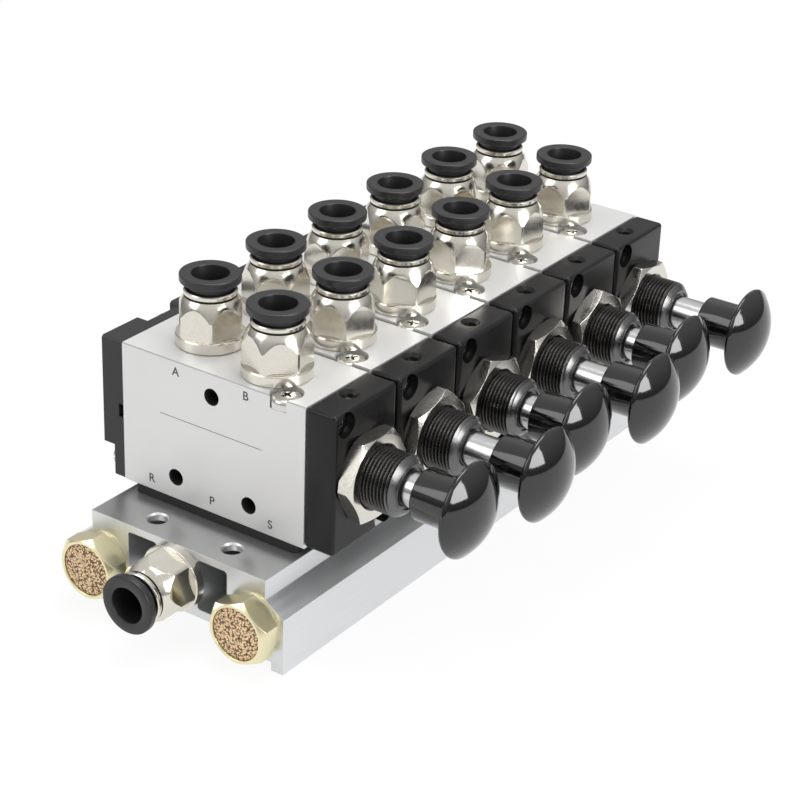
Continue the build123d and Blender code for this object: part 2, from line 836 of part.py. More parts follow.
# Sintered element in the recess of each silencer
with BuildPart() as silencer_element:
    add(
        turned(
            [
                (0, silencer_length - silencer_recess_depth),
                (silencer_recess_radius - seat_clearance / 2, silencer_length - silencer_recess_depth),
                (silencer_recess_radius - seat_clearance / 2, silencer_length - element_dome),
                (silencer_recess_radius / 2, silencer_length),
                (0, silencer_length),
            ]
        )
    )
with BuildPart() as silencer_elements:
    with Locations(*silencer_seats):
        add(silencer_element.part)
save(silencer_elements, "silencer_elements")

# Socket plugs close the back ends of the three galleries
with BuildPart() as end_plugs:
    with BuildSketch(back_end.offset(-plug_setback)):
        with Locations(*galleries):
            Circle(shank_radius)
    extrude(amount=-plug_length)
    with BuildSketch(back_end.offset(-plug_setback)):
        with Locations(*galleries):
            RegularPolygon(plug_socket_flats / 2, 6, major_radius=False)
    extrude(amount=-plug_socket_depth, mode=Mode.SUBTRACT)
save(end_plugs, "end_plugs")
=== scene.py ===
"""Looks of the valve manifold: its turned, plated, moulded and extruded pieces, its light and its camera.

Pieces are modelled in millimetres and settled into the frame's metres when they are finished.
"""

import json
import logging
import math
from collections.abc import Callable, Sequence
from dataclasses import dataclass
from enum import Enum

import bpy
from mathutils import Matrix, Vector


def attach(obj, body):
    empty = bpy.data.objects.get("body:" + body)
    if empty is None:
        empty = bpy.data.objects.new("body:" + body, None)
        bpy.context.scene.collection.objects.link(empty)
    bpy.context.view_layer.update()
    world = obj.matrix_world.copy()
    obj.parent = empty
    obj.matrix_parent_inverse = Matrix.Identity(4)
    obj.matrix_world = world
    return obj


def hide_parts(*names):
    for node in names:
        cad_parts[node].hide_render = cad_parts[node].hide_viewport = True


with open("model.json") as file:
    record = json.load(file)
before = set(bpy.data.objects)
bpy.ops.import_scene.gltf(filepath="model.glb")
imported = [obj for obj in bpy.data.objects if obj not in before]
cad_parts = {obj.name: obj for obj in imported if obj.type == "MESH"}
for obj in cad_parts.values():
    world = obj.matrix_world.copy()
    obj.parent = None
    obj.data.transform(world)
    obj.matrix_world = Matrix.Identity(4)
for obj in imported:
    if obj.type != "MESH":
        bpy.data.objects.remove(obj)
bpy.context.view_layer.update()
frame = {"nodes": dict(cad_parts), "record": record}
log = logging.getLogger("valve_manifold")

Point = tuple[float, float]
Place = tuple[float, float, float]
Colour = tuple[float, float, float]
Link = Callable[..., bpy.types.NodeLink]
MM = 0.001

# The row of valves, from the supply end. Lengths and places are in millimetres, in the frame.
VALVE_PITCH = 23.0
PULLED = (False, True, False, True, False, True)
VALVE_YS = tuple((k - (len(PULLED) - 1) / 2) * VALVE_PITCH for k in range(len(PULLED)))
TRAVEL = 4.5

# The valve bodies: their ends, sides and top, their broken edges and side holes, and the spool's axis.
BODY_END = 25.15
BODY_HALF = 11.0
BODY_TOP = 58.05
BODY_EDGE = 0.26
SIDE_HOLES = ((0.0, 52.55), (-10.2, 29.55), (10.2, 29.55))
SIDE_HOLE_RADIUS = 2.0
SPOOL_Z = 41.05

# The pull blocks' faces, their cap screws as measured from the spool's axis, and the base.
BLOCK_FACE = 32.95
CAP_SCREW_Y = 7.0
CAP_SCREW_Z = 13.8
DECK_LEVEL = 21.0
FRONT_END = -80.5

# Shares of a face's normal from which it counts as along an axis, and up to which as square to it.
ALONG = 0.9
SQUARE = 0.1

# Broad smudges in a metre, and the parts of the textures' values that the finishes use.
SMUDGES = 60.0
SMUDGE_SPAN = (0.35, 0.65)
NOISE_SPAN = (0.3, 0.7)
BEAD_SLOPE = (0.76, 0.38)


class Grain(Enum):
    """Kinds of fine surface structure that a finish can have."""

    CLOUD = "cloud"
    BRUSHED = "brushed"
    BEADS = "beads"


class Cut(Enum):
    """Ways in which one solid works on another."""

    TAKE = "DIFFERENCE"
    KEEP = "INTERSECT"


class Facing(Enum):
    """Sides that a piece modelled about Z is turned to, each by an angle about an axis."""

    UP = (0.0, "Z")
    KNOBS = (90.0, "Y")
    SUPPLY = (90.0, "X")


def ranged(
    nodes: bpy.types.Nodes,
    link: Link,
    value: bpy.types.NodeSocket,
    given: Point = (0.0, 1.0),
    wanted: Point = (0.0, 1.0),
) -> bpy.types.Node:
    """Add a node that brings a value from one range to another, and holds it there.

    Args:
        nodes: The nodes of the material.
        link: Joins two sockets.
        value: The socket of the value.
        given: Ends of its range.
        wanted: Ends of the range that it is brought to.

    Returns:
        The node, whose Result is the new value.
    """
    node = nodes.new("ShaderNodeMapRange")
    node.inputs["From Min"].default_value = given[0]
    node.inputs["From Max"].default_value = given[1]
    node.inputs["To Min"].default_value = wanted[0]
    node.inputs["To Max"].default_value = wanted[1]
    link(value, node.inputs["Value"])
    return node


@dataclass(frozen=True)
class Finish:
    """One finish: its colour and shine, how they vary, its fine relief and its rounded edges.

    Lengths are in millimetres, and grain is the number of its features in a millimetre.
    """

    name: str
    colour: Colour
    metallic: float = 0.0
    roughness: float = 0.4
    roughness_spread: float = 0.06
    colour_spread: float = 0.05
    kind: Grain = Grain.CLOUD
    grain: float = 2.0
    stretch: tuple[float, float, float] = (1.0, 1.0, 1.0)
    relief: float = 0.004
    smudge: float = 0.05
    edge: float = 0.18
    coat: float = 0.0
    coat_roughness: float = 0.05
    # Colour in the hollows, where given: painted shade in the gaps between sintered beads.
    hollow_shade: Colour | None = None
    specular: float = 0.5

    def build(self) -> bpy.types.Material:
        """Build the material's nodes.

        Returns:
            The finished material.
        """
        material = bpy.data.materials.new(self.name)
        material.use_nodes = True
        nodes = material.node_tree.nodes
        link = material.node_tree.links.new
        shader = nodes["Principled BSDF"]
        shader.inputs["Metallic"].default_value = self.metallic
        shader.inputs["Specular IOR Level"].default_value = self.specular
        shader.inputs["Coat Weight"].default_value = self.coat
        shader.inputs["Coat Roughness"].default_value = self.coat_roughness
        place = nodes.new("ShaderNodeTexCoord").outputs["Object"]
        fine = self._fine(nodes, link, place)
        link(self._tint(nodes, link, fine), shader.inputs["Base Color"])
        link(self._dullness(nodes, link, fine, place), shader.inputs["Roughness"])
        link(self._surface(nodes, link, fine), shader.inputs["Normal"])
        return material

    def _fine(
        self, nodes: bpy.types.Nodes, link: Link, place: bpy.types.NodeSocket
    ) -> bpy.types.NodeSocket:
        """Add the texture of the fine structure.

        Args:
            nodes: The material's nodes.
            link: Joins two sockets.
            place: The socket of the place on the piece.

        Returns:
            The socket that runs from 0 in the structure's hollows to 1 on its crests.
        """
        mapping = nodes.new("ShaderNodeMapping")
        mapping.inputs["Scale"].default_value = self.stretch
        link(place, mapping.inputs["Vector"])
        if self.kind is Grain.BEADS:
            cells = nodes.new("ShaderNodeTexVoronoi")
            cells.inputs["Scale"].default_value = self.grain / MM
            link(mapping.outputs["Vector"], cells.inputs["Vector"])
            crest = ranged(nodes, link, cells.outputs["Distance"], BEAD_SLOPE)
            crest.interpolation_type = "SMOOTHSTEP"
            return crest.outputs["Result"]
        noise = nodes.new("ShaderNodeTexNoise")
        noise.inputs["Scale"].default_value = self.grain / MM
        noise.inputs["Detail"].default_value = 4.0 if self.kind is Grain.CLOUD else 6.0
        noise.inputs["Roughness"].default_value = 0.55
        link(mapping.outputs["Vector"], noise.inputs["Vector"])
        return ranged(nodes, link, noise.outputs["Fac"], NOISE_SPAN).outputs["Result"]

    def _tint(
        self, nodes: bpy.types.Nodes, link: Link, fine: bpy.types.NodeSocket
    ) -> bpy.types.NodeSocket:
        """Add the colour, a little darker in the hollows; for beads, painted shade in the gaps.

        Args:
            nodes: The material's nodes.
            link: Joins two sockets.
            fine: The socket of the fine structure.

        Returns:
            The socket of the colour.
        """
        low = self.hollow_shade or tuple(c * (1 - self.colour_spread) for c in self.colour)
        high = tuple(min(1.0, c * (1 + self.colour_spread)) for c in self.colour)
        tint = nodes.new("ShaderNodeMix")
        tint.data_type = "RGBA"
        tint.inputs["A"].default_value = (*low, 1.0)
        tint.inputs["B"].default_value = (*high, 1.0)
        link(fine, tint.inputs["Factor"])
        return tint.outputs["Result"]

    def _dullness(
        self,
        nodes: bpy.types.Nodes,
        link: Link,
        fine: bpy.types.NodeSocket,
        place: bpy.types.NodeSocket,
    ) -> bpy.types.NodeSocket:
        """Add the roughness, which follows the fine structure and broad smudges.

        Args:
            nodes: The material's nodes.
            link: Joins two sockets.
            fine: The socket of the fine structure.
            place: The socket of the place on the piece.

        Returns:
            The socket of the roughness.
        """
        smooth = max(0.02, self.roughness - self.roughness_spread)
        rough = min(1.0, self.roughness + self.roughness_spread)
        sheen = ranged(nodes, link, fine, wanted=(smooth, rough))
        broad = nodes.new("ShaderNodeTexNoise")
        broad.inputs["Scale"].default_value = SMUDGES
        broad.inputs["Detail"].default_value = 3.0
        link(place, broad.inputs["Vector"])
        half = self.smudge / 2
        touch = ranged(nodes, link, broad.outputs["Fac"], SMUDGE_SPAN, (-half, half))
        total = nodes.new("ShaderNodeMath")
        total.operation = "ADD"
        total.use_clamp = True
        link(sheen.outputs["Result"], total.inputs[0])
        link(touch.outputs["Result"], total.inputs[1])
        return total.outputs["Value"]

    def _surface(
        self, nodes: bpy.types.Nodes, link: Link, fine: bpy.types.NodeSocket
    ) -> bpy.types.NodeSocket:
        """Add the relief of the fine structure over softly rounded edges.

        Args:
            nodes: The material's nodes.
            link: Joins two sockets.
            fine: The socket of the fine structure.

        Returns:
            The socket of the normal.
        """
        edges = nodes.new("ShaderNodeBevel")
        edges.samples = 6
        edges.inputs["Radius"].default_value = self.edge * MM
        bump = nodes.new("ShaderNodeBump")
        bump.inputs["Strength"].default_value = 1.0
        bump.inputs["Distance"].default_value = self.relief * MM
        link(fine, bump.inputs["Height"])
        link(edges.outputs["Normal"], bump.inputs["Normal"])
        return bump.outputs["Normal"]


class Finishes:
    """Every finish of the part, by the record's material slots, and a few of the scene's own."""

    SLOTS = {
        "base_aluminium": Finish(
            "extruded_aluminium", (0.70, 0.71, 0.72), metallic=0.85, roughness=0.36,
            roughness_spread=0.04, colour_spread=0.03, kind=Grain.BRUSHED, grain=3.0,
            stretch=(1.0, 0.02, 1.0), relief=0.0015, edge=0.2,
        ),
        "body_aluminium": Finish(
            "anodised_aluminium", (0.72, 0.72, 0.715), metallic=0.6, roughness=0.42,
            roughness_spread=0.05, colour_spread=0.03, grain=6.0, relief=0.0015, edge=0.06,
        ),
        "black_block": Finish(
            "black_anodised_block", (0.006, 0.006, 0.0065), metallic=0.05, roughness=0.33,
            roughness_spread=0.05, colour_spread=0.15, grain=5.0, relief=0.002, smudge=0.06,
            edge=0.15, specular=0.3,
        ),
        "black_cover": Finish(
            "black_moulded_cover", (0.02, 0.02, 0.0205), roughness=0.45, colour_spread=0.12,
            grain=4.0, smudge=0.06, edge=0.25, specular=0.4,
        ),
        "nickel_brass": Finish(
            "nickel_plated_fitting", (0.72, 0.685, 0.61), metallic=1.0, roughness=0.19,
            roughness_spread=0.04, colour_spread=0.04, grain=1.2, relief=0.0012, smudge=0.06,
            edge=0.1,
        ),
        "nickel_nut": Finish(
            "nickel_plated_nut", (0.70, 0.68, 0.62), metallic=1.0, roughness=0.2,
            roughness_spread=0.04, colour_spread=0.03, grain=1.5, relief=0.001, smudge=0.06,
            edge=0.1,
        ),
        "ring_plastic": Finish(
            "black_ring_plastic", (0.014, 0.014, 0.0155), roughness=0.36, roughness_spread=0.05,
            colour_spread=0.1, grain=6.0, relief=0.002, smudge=0.08, edge=0.12,
        ),
        "polished_rod": Finish(
            "polished_rod", (0.62, 0.62, 0.63), metallic=1.0, roughness=0.2, roughness_spread=0.03,
            colour_spread=0.02, kind=Grain.BRUSHED, grain=4.0, stretch=(8.0, 0.2, 0.2),
            relief=0.0006, smudge=0.04, edge=0.1,
        ),
        "knob_plastic": Finish(
            "gloss_knob_plastic", (0.003, 0.003, 0.0035), roughness=0.08, roughness_spread=0.02,
            colour_spread=0.1, grain=0.8, relief=0.0006, smudge=0.03, edge=0.1, coat=0.4,
            specular=0.6,
        ),
        "gasket_rubber": Finish(
            "gasket_rubber", (0.016, 0.016, 0.016), roughness=0.62, roughness_spread=0.08,
            colour_spread=0.15, grain=4.0,
        ),
        "seal_rubber": Finish(
            "seal_rubber", (0.02, 0.02, 0.02), roughness=0.5, roughness_spread=0.08,
            colour_spread=0.15, grain=5.0,
        ),
        "bright_screw": Finish(
            "zinc_plated_screw", (0.66, 0.65, 0.62), metallic=1.0, roughness=0.24,
            roughness_spread=0.05, colour_spread=0.04, grain=4.0, relief=0.002, smudge=0.08,
            edge=0.1,
        ),
        "dark_screw": Finish(
            "darkened_screw", (0.32, 0.32, 0.33), metallic=1.0, roughness=0.24, colour_spread=0.1,
            grain=5.0, relief=0.002, smudge=0.06, edge=0.1,
        ),
        "spring_steel": Finish(
            "spring_steel", (0.62, 0.62, 0.64), metallic=1.0, roughness=0.25, roughness_spread=0.05,
            colour_spread=0.04, grain=5.0,
        ),
        "silencer_brass": Finish(
            "passivated_brass", (0.86, 0.79, 0.52), metallic=1.0, roughness=0.33,
            roughness_spread=0.02, colour_spread=0.02, grain=1.0, relief=0.0004, smudge=0.04,
            edge=0.12,
        ),
        # Its dark colour in the gaps between the beads is painted shade.
        "sintered_bronze": Finish(
            "sintered_bronze", (0.82, 0.60, 0.36), metallic=0.2, roughness=0.5,
            roughness_spread=0.08, colour_spread=0.1, kind=Grain.BEADS, grain=2.1, relief=0.2,
            edge=0.05, hollow_shade=(0.13, 0.065, 0.025),
        ),
        "plug_steel": Finish(
            "zinc_plated_plug", (0.55, 0.55, 0.56), metallic=1.0, roughness=0.34,
            roughness_spread=0.05, grain=4.0,
        ),
    }
    COLLAR = Finish(
        "black_oxide_thread", (0.075, 0.073, 0.071), metallic=0.9, roughness=0.24,
        roughness_spread=0.05, colour_spread=0.2, grain=4.0, relief=0.002, smudge=0.06, edge=0.05,
    )
    FACED = Finish(
        "turned_collar_end", (0.15, 0.15, 0.15), metallic=0.95, roughness=0.27,
        roughness_spread=0.05, colour_spread=0.1, grain=6.0, relief=0.002, edge=0.05,
    )
    # Painted shade: a darker grey for the base's deck faces than for the rest of the base.
    DECK_SHADE = Finish(
        "painted_deck_shade", (0.40, 0.405, 0.40), metallic=0.85, roughness=0.34, roughness_spread=0.02,
        colour_spread=0.02, grain=1.0, relief=0.0003, edge=0.12,
    )
    # Painted shade: a darker grey for a valve body's broken outer edges, which dulls the highlight that
    # they catch.
    PAINTED_EDGE_SHADE = Finish(
        "painted_edge_shade", (0.34, 0.34, 0.335), metallic=0.6, roughness=0.45, roughness_spread=0.05,
        colour_spread=0.03, grain=6.0, edge=0.05,
    )
    # Painted shade: near black for a fitting's groove and mouth and for a screw head's cross.
    GROOVE_SHADE = Finish(
        "painted_groove_shade", (0.05, 0.047, 0.04), metallic=0.6, roughness=0.45, roughness_spread=0.05,
        colour_spread=0.1, grain=5.0, edge=0.01,
    )
    # Painted shade: near black for the walls of a valve body's side holes.
    BORE_SHADE = Finish(
        "painted_bore_shade", (0.022, 0.022, 0.023), roughness=0.6, roughness_spread=0.05,
        colour_spread=0.1, grain=5.0, edge=0.01,
    )
    PRINT = Finish(
        "printed_mark", (0.05, 0.05, 0.055), roughness=0.5, roughness_spread=0.05,
        colour_spread=0.1, grain=8.0, edge=0.01,
    )

    def __init__(self) -> None:
        """Build each finish once."""
        self.of_slot = {slot: finish.build() for slot, finish in self.SLOTS.items()}
        self.collar = self.COLLAR.build()
        self.faced = self.FACED.build()
        self.deck_shade = self.DECK_SHADE.build()
        self.painted_edge_shade = self.PAINTED_EDGE_SHADE.build()
        self.groove = self.GROOVE_SHADE.build()
        self.bore = self.BORE_SHADE.build()
        self.print = self.PRINT.build()

    def dress_nodes(self) -> None:
        """Give every CAD node the finish of its slot."""
        for subpart in frame["record"]["subparts"]:
            node = frame["nodes"][subpart["node"]]
            node.data.materials.clear()
            node.data.materials.append(self.of_slot[subpart["material_slot"]])
            if subpart["material_slot"] == "body_aluminium":
                self.dress_body(node, VALVE_YS[int(node.name[-1]) - 1])
        # Painted shade: the base's deck faces, above the deck level, take the darker grey.
        base = frame["nodes"]["manifold_base"]
        base.data.materials.append(self.deck_shade)
        paint(base, 1, lambda face: face.normal.z > ALONG and face.center.z > DECK_LEVEL * MM)

    def dress_body(self, node: bpy.types.Object, y: float) -> None:
        """Paint shade into a valve body's side holes and onto its broken outer edges.

        Args:
            node: The valve body.
            y: Place of its middle along the row, in millimetres.
        """
        node.data.materials.append(self.bore)
        node.data.materials.append(self.painted_edge_shade)
        # Painted shade: the side holes' walls take the near black.
        paint(node, 1, in_side_hole)
        # Painted shade: the broken outer edges take the darker grey, which dulls their highlight.
        paint(node, 2, lambda face: on_broken_edge(face, y))


def in_side_hole(face: bpy.types.MeshPolygon) -> bool:
    """Say whether a face is on the wall of one of a valve body's side holes.

    Args:
        face: A face of the body, in metres.

    Returns:
        Whether it is.
    """
    centre = face.center / MM
    nearest = min(math.hypot(centre.x - x, centre.z - z) for x, z in SIDE_HOLES)
    return nearest < SIDE_HOLE_RADIUS + 0.02 and abs(face.normal.y) < SQUARE


def on_broken_edge(face: bpy.types.MeshPolygon, y: float) -> bool:
    """Say whether a face breaks the edge between two outer sides of a valve body.

    Args:
        face: A face of the body, in metres.
        y: Place of the body's middle along the row, in millimetres.

    Returns:
        Whether it does.
    """
    centre = face.center / MM
    sides = (abs(centre.x) - BODY_END, abs(centre.y - y) - BODY_HALF, centre.z - BODY_TOP)
    outer = sum(abs(side) < BODY_EDGE for side in sides) > 1
    return outer and max(abs(part) for part in face.normal) < 0.99


def paint(
    piece: bpy.types.Object, finish: int, chosen: Callable[[bpy.types.MeshPolygon], bool]
) -> None:
    """Give chosen faces of a piece another of its finishes.

    Args:
        piece: The piece, with its finishes set.
        finish: Place of the finish among the piece's own.
        chosen: Says whether a face takes it.
    """
    for face in piece.data.polygons:
        if chosen(face):
            face.material_index = finish


def only_none() -> None:
    """Deselect every object."""
    bpy.ops.object.select_all(action="DESELECT")


def only(piece: bpy.types.Object) -> None:
    """Select one object alone and make it active.

    Args:
        piece: The object.
    """
    only_none()
    piece.select_set(True)
    bpy.context.view_layer.objects.active = piece


def apply(piece: bpy.types.Object, kind: str, **settings: object) -> bpy.types.Object:
    """Add a modifier to a piece and apply it.

    Args:
        piece: The piece that changes.
        kind: The modifier's type.
        settings: The modifier's own values.

    Returns:
        The same piece.
    """
    only(piece)
    modifier = piece.modifiers.new(kind.lower(), kind)
    for key, value in settings.items():
        setattr(modifier, key, value)
    bpy.ops.object.modifier_apply(modifier=modifier.name)
    return piece


def work(piece: bpy.types.Object, tool: bpy.types.Object, cut: Cut) -> bpy.types.Object:
    """Cut a piece with a tool solid, and clear the tool away.

    Args:
        piece: The piece that is cut.
        tool: The closed solid that cuts it.
        cut: Whether the tool's volume is taken away or kept.

    Returns:
        The cut piece.
    """
    apply(piece, "BOOLEAN", operation=cut.value, solver="EXACT", object=tool)
    bpy.data.objects.remove(tool)
    return piece


def shade(piece: bpy.types.Object, limit: float = 20.0) -> bpy.types.Object:
    """Shade a piece smooth, and keep the edges between its faces crisp.

    Args:
        piece: The piece.
        limit: Smallest angle of an edge that stays crisp, in degrees.

    Returns:
        The same piece.
    """
    only(piece)
    bpy.ops.object.shade_smooth_by_angle(angle=math.radians(limit))
    return piece


def tidy(piece: bpy.types.Object) -> bpy.types.Object:
    """Merge a mesh's doubled points and turn its faces outwards.

    Args:
        piece: The piece, in millimetres.

    Returns:
        The same piece.
    """
    only(piece)
    bpy.ops.object.mode_set(mode="EDIT")
    bpy.ops.mesh.select_all(action="SELECT")
    bpy.ops.mesh.remove_doubles(threshold=0.0005)
    bpy.ops.mesh.normals_make_consistent(inside=False)
    bpy.ops.object.mode_set(mode="OBJECT")
    return piece


def drawn(name: str, outline: Sequence[Point]) -> bpy.types.Object:
    """Draw an outline in the XZ plane as a chain of edges, left in edit mode and all selected.

    Args:
        name: Name of the piece.
        outline: Its (radius, height) points.

    Returns:
        The new object.
    """
    only_none()
    bpy.ops.mesh.primitive_plane_add(size=1.0)
    piece = bpy.context.object
    piece.name = name
    piece.data.name = name
    bpy.ops.object.mode_set(mode="EDIT")
    bpy.ops.mesh.select_mode(type="VERT")
    bpy.ops.mesh.select_all(action="SELECT")
    bpy.ops.mesh.merge(type="CENTER")
    start = outline[0]
    bpy.ops.transform.translate(value=(start[0], 0.0, start[1]))
    for (r0, z0), (r1, z1) in zip(outline, outline[1:]):
        bpy.ops.mesh.extrude_vertices_move(
            TRANSFORM_OT_translate={"value": (r1 - r0, 0.0, z1 - z0)}
        )
    bpy.ops.mesh.select_all(action="SELECT")
    return piece


def turned(name: str, outline: Sequence[Point], steps: int = 64) -> bpy.types.Object:
    """Turn a closed outline, or one that starts and ends on the axis, about Z.

    Args:
        name: Name of the piece.
        outline: Its (radius, height) points.
        steps: Steps round the turn.

    Returns:
        The turned solid.
    """
    piece = drawn(name, outline)
    bpy.ops.mesh.spin(steps=steps, angle=math.tau, center=(0, 0, 0), axis=(0, 0, 1))
    bpy.ops.object.mode_set(mode="OBJECT")
    return tidy(piece)


def arc(centre: Point, radius: float, start: float, end: float, steps: int) -> list[Point]:
    """Points on an arc of an outline.

    Args:
        centre: Its (radius, height) centre.
        radius: Its radius.
        start: First angle, in degrees.
        end: Last angle, in degrees.
        steps: Number of steps between them.

    Returns:
        The points, both ends included.
    """
    angles = [math.radians(start + (end - start) * k / steps) for k in range(steps + 1)]
    return [(centre[0] + radius * math.cos(a), centre[1] + radius * math.sin(a)) for a in angles]


def unpicked(piece: bpy.types.Object) -> bpy.types.Object:
    """Deselect everything in a piece's mesh, so that code can pick what it works on.

    Args:
        piece: The piece.

    Returns:
        The same piece, in object mode.
    """
    only(piece)
    bpy.ops.object.mode_set(mode="EDIT")
    bpy.ops.mesh.select_all(action="DESELECT")
    bpy.ops.object.mode_set(mode="OBJECT")
    return piece


def rod(name: str, radius: float, low: float, high: float, sides: int = 48) -> bpy.types.Object:
    """Plain round or many sided tool solid about Z.

    Args:
        name: Name of the tool.
        radius: Radius over its corners.
        low: Height of its lower end.
        high: Height of its upper end.
        sides: Number of sides.

    Returns:
        The tool.
    """
    only_none()
    bpy.ops.mesh.primitive_cylinder_add(
        vertices=sides, radius=radius, depth=high - low, location=(0, 0, (low + high) / 2)
    )
    tool = bpy.context.object
    tool.name = name
    bpy.ops.object.transform_apply(location=True, rotation=True, scale=True)
    return tool


def flats(
    piece: bpy.types.Object, corner: float, low: float, high: float, reach: float
) -> bpy.types.Object:
    """Mill a hexagon on a turned piece between two heights.

    Args:
        piece: The turned piece.
        corner: Radius over the hexagon's corners.
        low: Lower end of the flats.
        high: Upper end of the flats.
        reach: Radius that the tool covers.

    Returns:
        The milled piece.
    """
    only_none()
    bpy.ops.mesh.primitive_circle_add(vertices=6, radius=corner, location=(0, 0, low))
    tool = bpy.context.object
    bpy.ops.object.transform_apply(location=True, rotation=True, scale=True)
    bpy.ops.object.mode_set(mode="EDIT")
    bpy.ops.mesh.select_all(action="SELECT")
    bpy.ops.mesh.extrude_edges_move(TRANSFORM_OT_translate={"value": (0, 0, 0)})
    bpy.ops.transform.resize(value=(reach / corner, reach / corner, 1.0), center_override=(0, 0, low))
    bpy.ops.mesh.select_all(action="SELECT")
    bpy.ops.mesh.extrude_region_move(TRANSFORM_OT_translate={"value": (0, 0, high - low)})
    bpy.ops.object.mode_set(mode="OBJECT")
    return work(piece, tidy(tool), Cut.TAKE)


def seat(x: float, y: float, z: float, facing: Facing, turn: float = 0.0) -> Matrix:
    """Matrix that sets a piece modelled about Z on its place.

    Args:
        x: Place along X.
        y: Place along Y.
        z: Place along Z.
        facing: Side that the piece's Z is turned to.
        turn: Turn about its own axis first, in degrees.

    Returns:
        The matrix, in millimetres.
    """
    angle, axis = facing.value
    side = Matrix.Rotation(math.radians(angle), 4, axis)
    return Matrix.Translation((x, y, z)) @ side @ Matrix.Rotation(math.radians(turn), 4, "Z")


def copy_at(pattern: bpy.types.Object, name: str, place: Matrix) -> bpy.types.Object:
    """Copy a finished pattern, with a mesh of its own, to one place in the frame.

    Args:
        pattern: The piece in millimetres about Z.
        name: Name of the copy.
        place: Its seat, in millimetres.

    Returns:
        The copy, in metres, with its object at the origin.
    """
    piece = pattern.copy()
    piece.data = pattern.data.copy()
    piece.name = name
    piece.data.name = name
    piece.data.transform(Matrix.Scale(MM, 4) @ place)
    bpy.context.scene.collection.objects.link(piece)
    return piece


def gathered(name: str, pieces: Sequence[bpy.types.Object]) -> bpy.types.Object:
    """Join finished copies into one piece.

    Args:
        name: Name of the joined piece.
        pieces: The copies.

    Returns:
        The joined piece.
    """
    only(pieces[0])
    for piece in pieces:
        piece.select_set(True)
    bpy.ops.object.join()
    whole = bpy.context.object
    whole.name = name
    whole.data.name = name
    return whole


def fit(piece: bpy.types.Object, body: str, slot: str, *nodes: str) -> bpy.types.Object:
    """Make a piece ride on its body and stand for its CAD nodes.

    Args:
        piece: The finished piece.
        body: The body that it moves with.
        slot: The record's slot of its finish; not used.
        nodes: The CAD nodes that it replaces.

    Returns:
        The same piece.
    """
    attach(piece, body)
    if nodes:
        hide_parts(*nodes)
    log.info("%s: %d faces", piece.name, len(piece.data.polygons))
    return piece


def coat(piece: bpy.types.Object, *materials: bpy.types.Material) -> bpy.types.Object:
    """Set a piece's finishes, the first of them on every face.

    Args:
        piece: The piece.
        materials: Its finishes, in the order that paint counts them.

    Returns:
        The same piece.
    """
    piece.data.materials.clear()
    for material in materials:
        piece.data.materials.append(material)
    return piece


